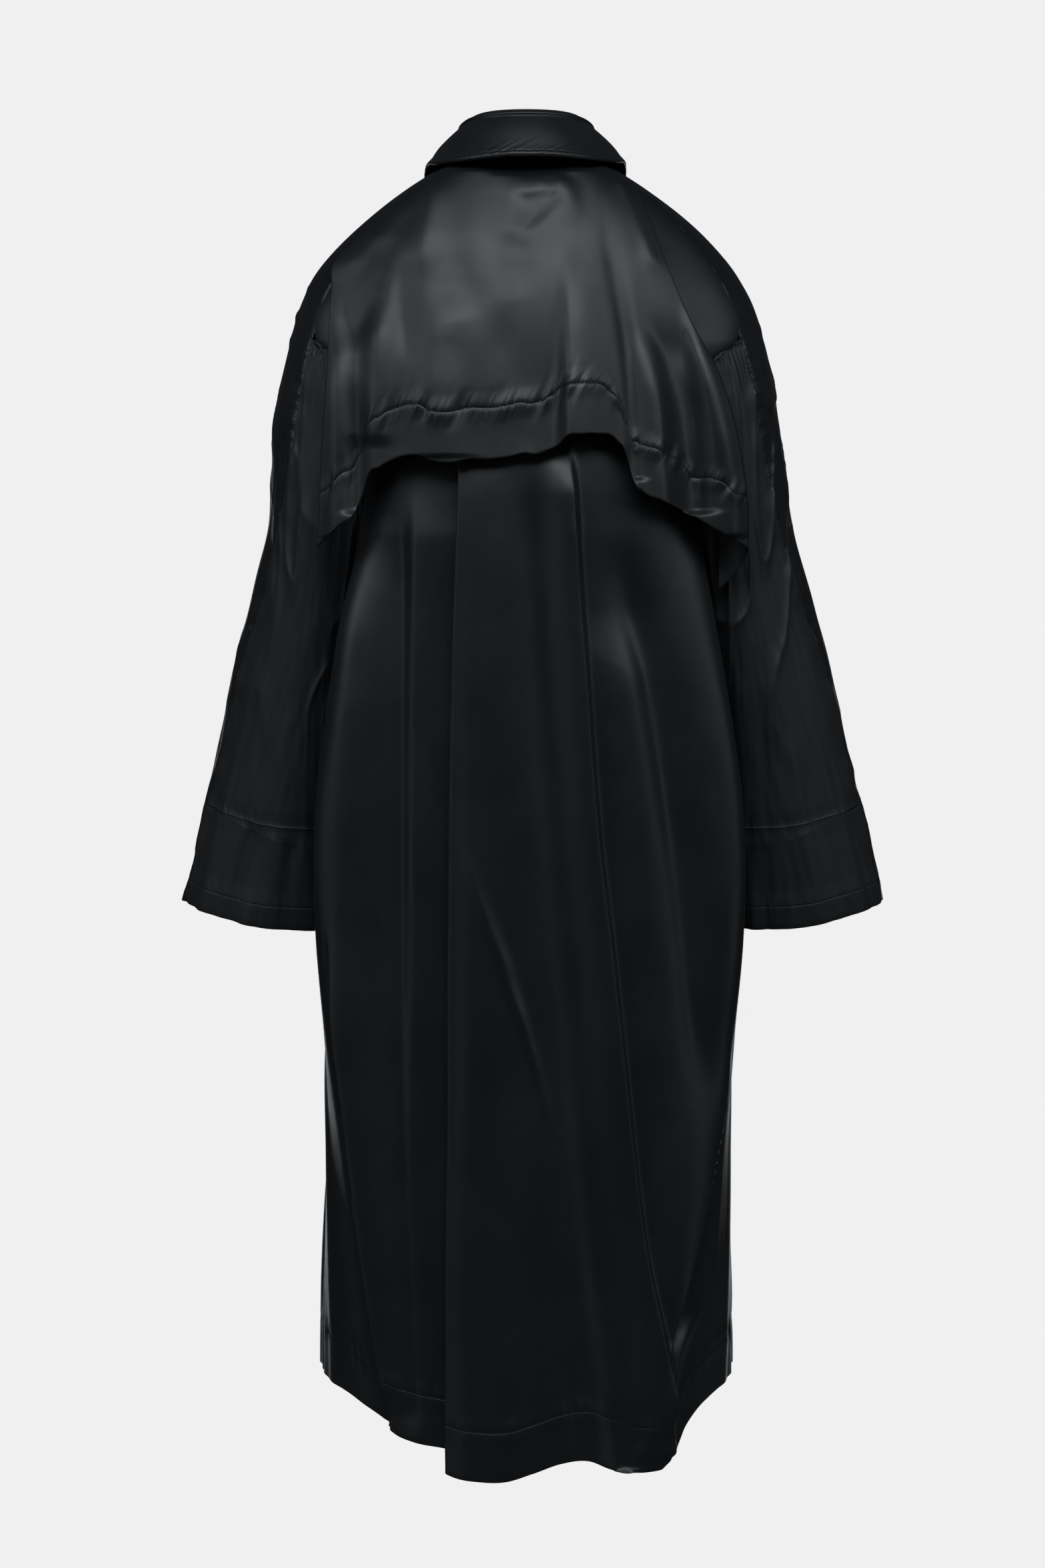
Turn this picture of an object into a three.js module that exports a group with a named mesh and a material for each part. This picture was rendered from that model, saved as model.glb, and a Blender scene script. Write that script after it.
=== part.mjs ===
// A long satin coat with a cape back: turn-down collar, raglan shoulders, wide two-piece sleeves,
// a loose storm flap over the shoulder blades and a box pleat down the centre back. The front closes
// with press studs. Millimetres, +Z up. The wearer faces +Y, so the wearer's left is -X. The origin is
// the centre of the neck, level with the back neck seam, which is where the garment hangs from.
import * as THREE from "three";

// Cloth and seams
const CLOTH = 1.5; // satin with its seam allowances
const SEAM_GAP = 2.2; // between two panels sewn edge to edge
const LAYER = 2.3; // from the middle of one cloth to the middle of a cloth lying on it
const PROBE = 1e-3; // step used to find a surface's normal

// Lengths, measured down from the back neck seam
const COAT_LENGTH = 1162; // centre back
const SIDE_LENGTH = 1102;
const FRONT_LENGTH = 1092;
const YOKE_DEPTH = 200;
const SHOULDER_DROP = 150; // top of the armhole
const ARMPIT_DROP = 330;
const HEM_DEPTH = 60; // the hem is turned up this far

// Widths and the neck
const NECK_HALF = 74;
const NECK_RISE = 10; // the side of the neck stands above the back neck seam
const FRONT_NECK_DROP = 75;
const SHOULDER_HALF = 217;
const ARMPIT_HALF = 148;
const ARMHOLE_DEPTH = 150; // front to back
const ARMHOLE_ROUND = 4; // 2 would be an oval, and more is squarer

// Sleeve
const SLEEVE_DROP = 664; // outer corner of the cuff
const CUFF_REACH = 323; // how far that corner is from the centre line
const CUFF_WIDTH = 165;
const CUFF_DEPTH = 132; // front to back
const CUFF_RISE = 0.145; // slope of the cuff's edge, as rise over width
const OVERARM_SEAM = 30; // degrees round from the outer edge towards the back
const UNDERARM_SEAM = 180;

// Collar
const COLLAR_RISE = 51; // the roll line above the back neck seam
const FRONT_RISE = 8;
const LEAF_FALL = 47;
const WING_FALL = 60;
const LEAF_FLARE = 33; // how far the leaf's edge stands out from the roll line
const WING_FLARE = 47;
const BACK_LEAF = 38; // degrees each side of the centre back that turn up
const SIDE_LEAF = 105; // degrees at which the wings begin
const WING_END = 141; // the collar stops short of the front edges
const STAND_INSET = 4;
const ROLL = [56, 62]; // half width and half depth of the roll line
const ROLL_CLEARANCE = 6; // between the stand's top edge and the leaf

// Storm flap
const FLAP_HALF = 189;
const FLAP_CENTRE = 264; // its hem below the neck seam, at the centre and at the corners
const FLAP_CORNER = 348;
const FLAP_FOLD = 93; // it lifts along this level
const FLAP_HEM = 44;
const FLAP_TOP = 1;

// Front closing
const OVERLAP = 22; // each front passes the centre line by this
const FRONT_STACK = 8.2; // the outer front lies this far over the inner one
const FACING_WIDTH = 48;
const FOLD_TOP = 52; // the fronts turn on a line from here, beside the neck,
const FOLD_HEM = 140; // to here at the hem
const STUD_COUNT = 5;
const STUD_RADIUS = 7.5;
const STUD_SEGMENTS = 12;
const STUD_GAP = 0.5;

// Pleat, pockets and neck trim
const PLEAT_PROUD = 3;
const POCKET_DROP = [440, 610];
const WELT_DROP = [450, 590];
const LOOP_SPAN = 52;
const LOOP_REACH = 12;
const LOOP_STRAP = [1.6, 6];
const LABEL_DROP = [38, 60];

const rad = THREE.MathUtils.degToRad;
const lerp = THREE.MathUtils.lerp;
const smooth = (x) => THREE.MathUtils.smoothstep(x, 0, 1);

// A smooth function through stations, each [where, ...values], with where increasing.
function through(stations) {
  const width = stations[0].length - 1;
  const curve = new THREE.CubicInterpolant(
    new Float64Array(stations.map((s) => s[0])),
    new Float64Array(stations.flatMap((s) => s.slice(1))),
    width,
    new Float64Array(width),
  );
  return (at) => Array.from(curve.evaluate(at));
}

// ---- The body of the coat ----
// The armhole is a rounded oblong in a slanted plane, from the shoulder point down to the armpit.
function armhole(drop) {
  const c = THREE.MathUtils.clamp(
    ((SHOULDER_DROP + ARMPIT_DROP) / 2 - drop) / ((ARMPIT_DROP - SHOULDER_DROP) / 2), -1, 1);
  return [
    (SHOULDER_HALF + ARMPIT_HALF) / 2 + (c * (SHOULDER_HALF - ARMPIT_HALF)) / 2,
    (ARMHOLE_DEPTH / 2) * (1 - c ** ARMHOLE_ROUND) ** (1 / ARMHOLE_ROUND),
  ];
}

// Half width of the shoulder line, from the side of the neck out to the shoulder point.
const shoulderLine = (drop) =>
  lerp(NECK_HALF, SHOULDER_HALF,
    Math.sin((Math.PI / 2) * ((drop + NECK_RISE) / (SHOULDER_DROP + NECK_RISE))) ** 0.93);

// A station of the shoulders: the seam of the raglan lies just behind the shoulder line.
const shoulderStation = (drop, back, front) => {
  const w = shoulderLine(drop);
  return [drop, back, 0.89 * w, -0.49 * back, w, 0.78 * w, 0.66 * front, front];
};
// A station beside the armhole: both edges of the body follow the oval.
const armholeStation = (drop, back, front) => {
  const [w, depth] = armhole(drop);
  return [drop, back, w - 4, -depth, w - 4, w - 4, depth, front];
};
// Down from the neck: drop, back depth, back corner x and y, side, front corner x and y, front depth.
const body = through([
  shoulderStation(-NECK_RISE, 58, 24),
  shoulderStation(12, 80, 48),
  shoulderStation(35, 91, 60),
  shoulderStation(75, 104, 78),
  shoulderStation(110, 112, 92),
  shoulderStation(SHOULDER_DROP, 118, 102),
  armholeStation(YOKE_DEPTH, 122, 110),
  armholeStation((SHOULDER_DROP + ARMPIT_DROP) / 2, 124, 114),
  armholeStation(ARMPIT_DROP - 40, 126, 119),
  [ARMPIT_DROP + 6, 126, ARMPIT_HALF - 3, -66, ARMPIT_HALF - 7, 139, 74, 122],
  [375, 126, 162, -90, 139, 136, 88, 123],
  [450, 127, 173, -99, 140, 133, 96, 126],
  [600, 130, 187, -104, 144, 128, 104, 130],
  [700, 133, 187, -105, 148, 130, 108, 134],
  [790, 137, 174, -106, 170, 140, 108, 138],
  [900, 143, 156, -112, 181, 147, 112, 142],
  [1090, 156, 130, -121, 188, 150, 118, 149],
  [COAT_LENGTH, 162, 126, -124, 190, 150, 120, 152],
]);

// Round the body at one height. Round: 0 is the centre back, 0.2 the back corner, 0.3 the side,
// 0.4 the front corner and 0.5 the centre front, and it runs on round the other side.
const outlines = new Map();
function outline(drop) {
  const key = drop.toFixed(4);
  if (!outlines.has(key)) {
    const [back, bx, by, side, fx, fy, front] = body(drop);
    const half = [[0.55 * bx, -0.94 * back], [bx, by], [side, 0], [fx, fy]];
    const points = [[0, -back], ...half, [0, front], ...half.map(([x, y]) => [-x, y]).reverse()];
    outlines.set(key, new THREE.CatmullRomCurve3(
      points.map(([x, y]) => new THREE.Vector3(x, y, -drop)), true, "catmullrom", 0.5));
  }
  return outlines.get(key);
}
const bodyAt = (round, drop) => outline(drop).getPoint((round + 1) % 1);

// Where the neck seam and the hem cross the body, as drops.
function neckDrop(round) {
  const r = round > 0.5 ? 1 - round : Math.abs(round);
  return r <= 0.3
    ? -NECK_RISE * Math.sin((Math.PI / 2) * (r / 0.3)) ** 2
    : lerp(-NECK_RISE, FRONT_NECK_DROP, ((r - 0.3) / 0.2) ** 2.24);
}
function hemDrop(round) {
  const r = round > 0.5 ? 1 - round : Math.abs(round);
  return r <= 0.3
    ? lerp(COAT_LENGTH, SIDE_LENGTH, smooth((r - 0.04) / 0.26))
    : lerp(SIDE_LENGTH, FRONT_LENGTH, smooth((r - 0.3) / 0.2));
}

// ---- Sheets of cloth ----
// A closed sheet of the given thickness about a surface (u, v) -> Vector3, both from 0 to 1.
// lift, a length or a function of the point, moves it off the surface along the normal. ring joins
// its two side edges.
function sheet(surface, columns, rows, { thick = CLOTH, lift = 0, ring = false } = {}) {
  const wide = ring ? columns : columns + 1;
  const outer = [];
  const inner = [];
  for (let j = 0; j <= rows; j++)
    for (let i = 0; i < wide; i++) {
      const [u, v] = [i / columns, j / rows];
      const across = surface(u + PROBE, v).sub(surface(u - PROBE, v));
      const down = surface(u, Math.min(1, v + PROBE)).sub(surface(u, Math.max(0, v - PROBE)));
      const normal = down.cross(across).normalize();
      const middle = surface(u, v);
      const raise = typeof lift === "function" ? lift(middle) : lift;
      outer.push(middle.clone().addScaledVector(normal, raise + thick / 2));
      inner.push(middle.clone().addScaledVector(normal, raise - thick / 2));
    }
  const points = [...outer, ...inner];
  const at = (i, j, side) => side * outer.length + j * wide + (i % wide);
  const index = [];
  const quad = (a, b, c, d) => index.push(a, b, c, a, c, d);
  for (let j = 0; j < rows; j++)
    for (let i = 0; i < columns; i++) {
      quad(at(i, j, 0), at(i + 1, j, 0), at(i + 1, j + 1, 0), at(i, j + 1, 0));
      quad(at(i, j, 1), at(i, j + 1, 1), at(i + 1, j + 1, 1), at(i + 1, j, 1));
    }
  for (let i = 0; i < columns; i++) {
    quad(at(i, 0, 0), at(i, 0, 1), at(i + 1, 0, 1), at(i + 1, 0, 0));
    quad(at(i, rows, 0), at(i + 1, rows, 0), at(i + 1, rows, 1), at(i, rows, 1));
  }
  for (let j = 0; j < rows && !ring; j++) {
    quad(at(0, j, 0), at(0, j + 1, 0), at(0, j + 1, 1), at(0, j, 1));
    quad(at(columns, j, 0), at(columns, j, 1), at(columns, j + 1, 1), at(columns, j + 1, 0));
  }
  return closedGeometry(points, index);
}

// A geometry from points and triangles, turned so that its faces point out.
function closedGeometry(points, index) {
  let volume = 0;
  for (let k = 0; k < index.length; k += 3)
    volume += points[index[k]].dot(points[index[k + 1]].clone().cross(points[index[k + 2]]));
  if (volume < 0) index.reverse();
  const geometry = new THREE.BufferGeometry().setFromPoints(points);
  geometry.setIndex(index);
  geometry.computeVertexNormals();
  return geometry;
}

// The other side of the coat. It runs the other way round, so that its normals still point out.
const mirrored = (surface) => (u, v) => {
  const p = surface(1 - u, v);
  return p.set(-p.x, p.y, p.z);
};
// A panel of the body between two places round it, each a number or a function of the drop.
function bodyPanel(from, to, top, bottom) {
  const value = (f, x) => (typeof f === "function" ? f(x) : f);
  return (u, v) => {
    const guess = lerp(value(from, YOKE_DEPTH), value(to, YOKE_DEPTH), u);
    const drop = lerp(value(top, guess), value(bottom, guess), v);
    return bodyAt(lerp(value(from, drop), value(to, drop), u), drop);
  };
}

// ---- Materials and the group ----
const satin = new THREE.MeshStandardMaterial({ color: 0x14171a, roughness: 0.42, metalness: 0 });
const facing = new THREE.MeshStandardMaterial({ color: 0x101214, roughness: 0.6, metalness: 0 });
const tape = new THREE.MeshStandardMaterial({ color: 0x1c1d1f, roughness: 0.8, metalness: 0 });
const stud = new THREE.MeshStandardMaterial({ color: 0x1a1b1d, roughness: 0.3, metalness: 0.8 });

const coat = new THREE.Group();
function add(name, geometry, material = satin) {
  const mesh = new THREE.Mesh(geometry, material);
  mesh.name = name;
  coat.add(mesh);
  return mesh;
}
// The same panel on both sides of the coat; it is drawn for the wearer's right.
function addPair(name, surface, columns, rows, options = {}, material = satin) {
  add(name + "_right", sheet(surface, columns, rows, options), material);
  add(name + "_left", sheet(mirrored(surface), columns, rows, options), material);
}

// ---- Body panels ----
const RAGLAN_BACK = 0.2;
const RAGLAN_FRONT = 0.4;
// A line that runs beside a seam at a place round the body, half of a seam's gap away.
const beside = (round, side) => (drop) =>
  round + (side * PROBE * SEAM_GAP) / 2 /
    bodyAt(round + side * PROBE, drop).distanceTo(bodyAt(round, drop));
const FACET = 0.04; // columns fall on the same lines in every layer, so that layers stay apart

add("back_yoke", sheet(
  bodyPanel(beside(-RAGLAN_BACK, 1), beside(RAGLAN_BACK, -1), (r) => neckDrop(r) + 1,
    YOKE_DEPTH - SEAM_GAP), 10, 6));
addPair("back_panel", bodyPanel(beside(0, 1), beside(RAGLAN_BACK, -1), YOKE_DEPTH, hemDrop), 5, 10);
add("back_box_pleat", sheet(
  bodyPanel(-2 * FACET, 2 * FACET, YOKE_DEPTH, hemDrop), 4, 10, { lift: PLEAT_PROUD }));
addPair("side_panel",
  bodyPanel(beside(RAGLAN_BACK, 1), beside(RAGLAN_FRONT, -1), ARMPIT_DROP + 12, hemDrop), 5, 9);
addPair("shoulder_saddle",
  bodyPanel(beside(RAGLAN_BACK, 1), beside(RAGLAN_FRONT, -1), (r) => neckDrop(r) + 1,
    SHOULDER_DROP - 2), 5, 6);

// The line that each front turns on: x by the drop, then the place round the body.
const foldX = (drop) => lerp(FOLD_TOP, FOLD_HEM, (drop - FRONT_NECK_DROP) / (FRONT_LENGTH - FRONT_NECK_DROP));
function roundAtX(x, drop) {
  let [low, high] = [RAGLAN_FRONT - 0.02, 0.56];
  for (let k = 0; k < 24; k++) {
    const middle = (low + high) / 2;
    if (bodyAt(middle, drop).x > x) low = middle;
    else high = middle;
  }
  return low;
}
const foldRound = (drop) => roundAtX(foldX(drop), drop);
const frontTop = (r) => neckDrop(r) + 1;
// The neck seam is met first, so that both sides of the fold share their heights.
const frontPanel = (from, to) => (u, v) => {
  const start = lerp(from(FRONT_NECK_DROP), to(FRONT_NECK_DROP), u);
  const drop = lerp(frontTop(start), hemDrop(start), v);
  return bodyAt(lerp(from(drop), to(drop), u), drop);
};
addPair("front_panel",
  frontPanel(beside(RAGLAN_FRONT, 1), (d) => beside(foldRound(d), -1)(d)), 5, 10);
const frontEdge = frontPanel((d) => beside(foldRound(d), 1)(d), (d) => roundAtX(-OVERLAP, d));
// The wearer's right front lies over the left one.
const overlapLift = (p) => FRONT_STACK * smooth((foldX(-p.z) - p.x) / (foldX(-p.z) - OVERLAP));
const FRONT_ROWS = 2 * STUD_COUNT; // each stud sits on a row
add("front_edge_right", sheet(frontEdge, 6, FRONT_ROWS, { lift: overlapLift }));
add("front_edge_left", sheet(mirrored(frontEdge), 6, FRONT_ROWS));
const frontStrip = frontPanel((d) => roundAtX(FACING_WIDTH - OVERLAP, d), (d) => roundAtX(1 - OVERLAP, d));
add("front_facing_right", sheet(frontStrip, 3, FRONT_ROWS, { lift: (p) => overlapLift(p) - LAYER }), facing);
add("front_facing_left", sheet(mirrored(frontStrip), 3, FRONT_ROWS, { lift: -LAYER }), facing);

// Trim inside the body
add("hem_facing", sheet(
  bodyPanel(beside(-RAGLAN_FRONT, 1), beside(RAGLAN_FRONT, -1), (r) => hemDrop(r) - HEM_DEPTH,
    (r) => hemDrop(r) - 1), 20, 1,
  { lift: -LAYER - 0.6 }), facing);
add("back_neck_facing", sheet(
  bodyPanel(-4 * FACET, 4 * FACET, (r) => neckDrop(r) + 1,
    (r) => lerp(neckDrop(r) + 1, YOKE_DEPTH, 1 / 3)), 8, 2,
  { lift: -LAYER }), facing);
add("neck_label", sheet(bodyPanel(-FACET, FACET, ...LABEL_DROP), 2, 1,
  { lift: -2 * LAYER - 0.6, thick: 0.8 }), tape);
addPair("pocket_bag", bodyPanel(RAGLAN_FRONT + 0.003, 0.432, ...POCKET_DROP), 4, 4,
  { lift: -LAYER - 2, thick: 2.6 }, facing);
addPair("pocket_welt", bodyPanel(RAGLAN_FRONT + 0.008, RAGLAN_FRONT + 0.024, ...WELT_DROP), 1, 4,
  { lift: LAYER + 0.4 });

// ---- Collar ----
// Angle round the collar: 0 is the centre back, 90 degrees the side and 180 the front.
const neckSeamZ = (a) =>
  Math.cos(a) > 0
    ? NECK_RISE * Math.sin(a) ** 2
    : NECK_RISE - (NECK_RISE + FRONT_NECK_DROP) * Math.cos(a) ** 2;
const rollZ = (a) =>
  neckSeamZ(a) + FRONT_RISE + (COLLAR_RISE - FRONT_RISE) * (0.5 + 0.5 * Math.cos(a)) ** 0.8;
const oval = (a, [x, y], z) => new THREE.Vector3(x * Math.sin(a), -y * Math.cos(a), z);
function standAt(a, v) {
  const foot = oval(a, [NECK_HALF - STAND_INSET, 68 - STAND_INSET], neckSeamZ(a) + 2);
  const top = oval(a, ROLL.map((r) => r - ROLL_CLEARANCE), rollZ(a) - 2);
  return foot.lerp(top, v);
}
function leafAt(a, v) {
  const turn = Math.abs(a) / Math.PI;
  const front = smooth((turn - 0.45) / 0.35);
  const fall = lerp(LEAF_FALL, WING_FALL, front) - 14 * Math.sin(a) ** 2;
  const out = lerp(LEAF_FLARE, WING_FLARE, front) * (1 - (1 - v) ** 1.6);
  return oval(a, ROLL.map((r) => r + out), rollZ(a) - fall * v);
}
const sector = (surface, from, to) => (u, v) => surface(rad(lerp(from, to, u)), v);
const ARC_GAP = 1; // degrees between two stretches of the collar
add("collar_stand", sheet(sector(standAt, -WING_END, WING_END), 20, 2), facing);
add("collar_leaf_back", sheet(sector(leafAt, -BACK_LEAF, BACK_LEAF), 8, 3));
add("undercollar_back", sheet(
  sector((a, v) => leafAt(a, lerp(0.06, 0.98, v)), 1 - BACK_LEAF, BACK_LEAF - 1), 8, 3,
  { lift: -LAYER }), facing);
addPair("collar_leaf", sector(leafAt, BACK_LEAF + ARC_GAP, SIDE_LEAF), 7, 3);
addPair("collar_wing", sector(leafAt, SIDE_LEAF + ARC_GAP, WING_END), 3, 3);

// ---- Storm flap ----
// Down from the neck: drop, depth at the centre back, x of the right and left edges, and how far
// those edges stand off the body.
const flap = through([
  [-4, 79, 70, -70, 8],
  [12, 91, 96, -94, 8],
  [35, 103, 108, -120, 8],
  [75, 116, 126, -158, 9],
  [FLAP_FOLD, 120, 134, -166, 10],
  [130, 126, 146, -172, 15],
  [200, 135, 170, -176, 28],
  [280, 142, 190, -182, 37],
  [FLAP_CORNER, 149, FLAP_HALF + 4, -FLAP_HALF, 46],
]);
// The body's depth behind one x, or behind its back corner if x is further out.
function backY(x, drop) {
  let [low, high] = [0, RAGLAN_BACK];
  for (let k = 0; k < 20; k++) {
    const middle = (low + high) / 2;
    if (bodyAt(middle, drop).x < Math.abs(x)) low = middle;
    else high = middle;
  }
  return bodyAt(low, drop).y;
}
const flapCurves = new Map();
function flapCurve(drop) {
  const key = drop.toFixed(4);
  if (!flapCurves.has(key)) {
    const [back, right, left, standOff] = flap(drop);
    const edge = (x) => [x, backY(x, drop) - standOff];
    const between = (x) => [0.55 * x, -0.97 * back];
    const points = [edge(left), between(left), [0, -back], between(right), edge(right)];
    flapCurves.set(key, new THREE.CatmullRomCurve3(
      points.map(([x, y]) => new THREE.Vector3(x, y, -drop)), false, "catmullrom", 0.5));
  }
  return flapCurves.get(key);
}
const flapAt = (u, drop) => flapCurve(drop).getPoint(THREE.MathUtils.clamp(u, 0, 1));
const flapHem = (u) =>
  lerp(FLAP_CENTRE, FLAP_CORNER, smooth((Math.abs(2 * u - 1) - 0.42) / 0.58));
const flapPart = (top, bottom) => (u, v) => {
  const inside = THREE.MathUtils.clamp(u, PROBE, 1 - PROBE);
  return flapAt(inside, lerp(top(inside), bottom(inside), v));
};
add("flap_yoke", sheet(flapPart(() => FLAP_TOP, () => FLAP_FOLD - SEAM_GAP), 14, 3));
add("storm_flap", sheet(flapPart(() => FLAP_FOLD, flapHem), 16, 5));
const flapHemStrip = flapPart((u) => flapHem(u) - FLAP_HEM, (u) => flapHem(u) - 1);
add("flap_hem_facing", sheet((u, v) => flapHemStrip(lerp(0.01, 0.99, u), v), 16, 1,
  { lift: -LAYER }), facing);

// ---- Sleeves ----
// Rings from the armhole to the cuff, each spanned between an outer and an inner seam point.
const cuffInner = [CUFF_REACH - CUFF_WIDTH, SLEEVE_DROP + CUFF_WIDTH * CUFF_RISE];
const sleeve = through([
  [0, SHOULDER_HALF, SHOULDER_DROP, ARMPIT_HALF, ARMPIT_DROP, ARMHOLE_DEPTH / 2, 0],
  [0.3, 240, 300, 162, 438, 72, 2],
  [0.6, 276, 452, 166, 545, 68, 6],
  [1, CUFF_REACH, SLEEVE_DROP, ...cuffInner, CUFF_DEPTH / 2, 12],
]);
// Angle round the sleeve: 0 is the outer edge, 90 degrees the back and 180 the inner edge. The ring
// is as square as the armhole at the top and turns into an oval down the arm.
function sleeveAt(a, t) {
  const [ox, od, ix, id, depth, y] = sleeve(t);
  const power = lerp(2 / ARMHOLE_ROUND, 1, smooth(t / 0.45));
  const square = (x) => Math.sign(x) * Math.abs(x) ** power;
  const c = (1 + square(Math.cos(a))) / 2;
  return new THREE.Vector3(lerp(ix, ox, c), y - depth * square(Math.sin(a)), -lerp(id, od, c));
}
const SLEEVE_START = 0.004; // keeps the sleeve's end clear of the armhole's edge
const sleevePanel = (from, to, top = SLEEVE_START, bottom = 1) => (u, v) =>
  sleeveAt(rad(lerp(from, to, u)), lerp(top, bottom, v));
const SLEEVE_ROWS = 6;
addPair("back_sleeve", sleevePanel(OVERARM_SEAM + 0.8, UNDERARM_SEAM - 0.8), 10, SLEEVE_ROWS);
addPair("top_sleeve", sleevePanel(UNDERARM_SEAM + 0.8, OVERARM_SEAM + 359.2), 14, SLEEVE_ROWS);
const facingTop = lerp(SLEEVE_START, 1, 1 - 1 / SLEEVE_ROWS);
addPair("cuff_facing", sleevePanel(0, 360, facingTop, 0.997), 24, 1,
  { lift: LAYER, ring: true }, facing);

// ---- Hanger loop ----
// A strap sewn inside the back neck at both ends, standing off it so that a hook can pass behind.
const loopDrop = 12;
const loopWall = (x) => 79 - 0.0045 * x * x - CLOTH - 2 * LAYER; // the facing's depth behind it
const loopPath = new THREE.CatmullRomCurve3(
  [-1, -0.86, -0.5, 0, 0.5, 0.86, 1].map((s) => new THREE.Vector3(
    (s * LOOP_SPAN) / 2,
    -loopWall((s * LOOP_SPAN) / 2) + LOOP_REACH * (1 - s * s) ** 0.6,
    -loopDrop)));
const [strapThick, strapWide] = LOOP_STRAP;
const strap = new THREE.Shape([
  [-strapThick / 2, -strapWide / 2], [strapThick / 2, -strapWide / 2],
  [strapThick / 2, strapWide / 2], [-strapThick / 2, strapWide / 2],
].map(([x, y]) => new THREE.Vector2(y, x)));
add("hanger_loop", new THREE.ExtrudeGeometry(
  strap, { steps: 12, extrudePath: loopPath, bevelEnabled: false }), tape);

// ---- Press studs ----
// Each is a cap on the outer front, a socket on its facing and a stud on the inner front.
const profile = (points) =>
  new THREE.LatheGeometry(points.map(([r, h]) => new THREE.Vector2(r, h)), STUD_SEGMENTS);
const capShape = profile(
  [[0, 0], [STUD_RADIUS - 0.6, 0], [STUD_RADIUS, 0.5], [STUD_RADIUS - 1.5, 1.3], [0, 1.7]]);
const socketShape = profile([[0, 0.5], [2.4, 0.5], [2.4, 0], [5.4, 0], [5.4, 1.1], [0, 1.1]]);
const studShape = profile([[0, 0], [5.2, 0], [5.2, 0.6], [1.7, 0.6], [1.9, 1.3], [0, 1.5]]);
function press(name, shape, lift, drop) {
  const place = bodyAt(0.5, drop);
  const slope = bodyAt(0.5, drop + 1).sub(bodyAt(0.5, drop - 1));
  const normal = new THREE.Vector3(0, -slope.z, slope.y).normalize();
  const mesh = add(name, shape, stud);
  mesh.position.copy(place.addScaledVector(normal, lift));
  mesh.quaternion.setFromUnitVectors(new THREE.Vector3(0, 1, 0), normal);
}
for (let k = 0; k < STUD_COUNT; k++) {
  const drop = lerp(frontTop(0.5), hemDrop(0.5), (2 * k + 1) / FRONT_ROWS);
  press(`stud_cap_${k + 1}`, capShape, FRONT_STACK + CLOTH / 2 + STUD_GAP, drop);
  press(`stud_socket_${k + 1}`, socketShape, FRONT_STACK - LAYER - CLOTH / 2 - STUD_GAP - 1.1, drop);
  press(`stud_post_${k + 1}`, studShape, CLOTH / 2 + STUD_GAP, drop);
}

export default coat;
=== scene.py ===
"""A long black satin coat with a loose cape flap over its back, seen from behind.

Metres, +Z up, the wearer faces +Y. "Drop" is a length down from the back neck seam at z = 0. Every
cloth piece is a grid laid over a surface written as a function of two shares, u across and v down.
"""
import math

import bpy
import numpy as np
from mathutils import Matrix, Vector


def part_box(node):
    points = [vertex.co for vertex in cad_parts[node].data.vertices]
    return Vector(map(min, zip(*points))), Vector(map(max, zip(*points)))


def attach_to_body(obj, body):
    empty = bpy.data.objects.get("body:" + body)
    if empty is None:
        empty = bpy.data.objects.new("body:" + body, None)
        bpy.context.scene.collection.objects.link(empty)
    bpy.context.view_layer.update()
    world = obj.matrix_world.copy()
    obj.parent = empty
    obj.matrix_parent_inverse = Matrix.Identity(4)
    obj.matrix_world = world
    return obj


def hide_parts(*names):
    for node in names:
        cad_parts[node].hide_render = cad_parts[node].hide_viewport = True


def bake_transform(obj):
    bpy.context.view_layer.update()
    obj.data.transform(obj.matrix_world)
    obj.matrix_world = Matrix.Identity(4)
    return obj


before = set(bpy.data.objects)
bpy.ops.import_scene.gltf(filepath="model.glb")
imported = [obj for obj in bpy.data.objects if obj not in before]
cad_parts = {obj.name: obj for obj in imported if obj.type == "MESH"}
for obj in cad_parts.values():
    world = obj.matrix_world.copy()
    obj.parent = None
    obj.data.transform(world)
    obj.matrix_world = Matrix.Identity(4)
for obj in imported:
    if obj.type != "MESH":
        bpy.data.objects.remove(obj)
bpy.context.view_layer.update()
SIDES = (("right", 1), ("left", -1))


# --- Back yoke -------------------------------------------------------------------------------
# A plain panel across the shoulder blades, hidden by the cape flap. It is cut from black satin: a
# smooth, soft cloth whose long warp floats give a broad, slightly blue shine.
def smooth(x):
    x = np.clip(x, 0, 1)
    return x * x * (3 - 2 * x)


def mix(a, b, t):
    return a + (b - a) * t


def curve(stations):
    """A smooth function through stations (where, value, ...). One value gives a plain array."""
    table = np.array(stations, float)
    at, values = table[:, 0], table[:, 1:]
    slopes = np.gradient(values, at, axis=0)

    def value(where):
        where = np.asarray(where, float)
        i = np.clip(np.searchsorted(at, where) - 1, 0, len(at) - 2)
        h = (at[i + 1] - at[i])[..., None]
        t = np.clip((where - at[i])[..., None] / h, 0, 1)
        out = (
            (1 + 2 * t) * (1 - t) ** 2 * values[i]
            + t * (1 - t) ** 2 * h * slopes[i]
            + t * t * (3 - 2 * t) * values[i + 1]
            + t * t * (t - 1) * h * slopes[i + 1]
        )
        return out[..., 0] if out.shape[-1] == 1 else out

    return value


def noise(x, y, seed):
    """Smooth noise from -1 to 1, one cell to each unit."""
    grid = np.random.RandomState(seed).uniform(-1, 1, (64, 64))
    xi, yi = np.floor(x).astype(int), np.floor(y).astype(int)
    fx, fy = smooth(x - xi), smooth(y - yi)
    corner = lambda i, j: grid[(yi + j) % 64, (xi + i) % 64]
    return mix(mix(corner(0, 0), corner(1, 0), fx), mix(corner(0, 1), corner(1, 1), fx), fy)


CLOTH = 0.0018  # from the face of the cloth to the face of its turned-up hem
EPS = 1e-4
CUT = {}  # each piece's flat width, length and area
SEWN = {}  # each piece's stitched lines, as rows of points


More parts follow.
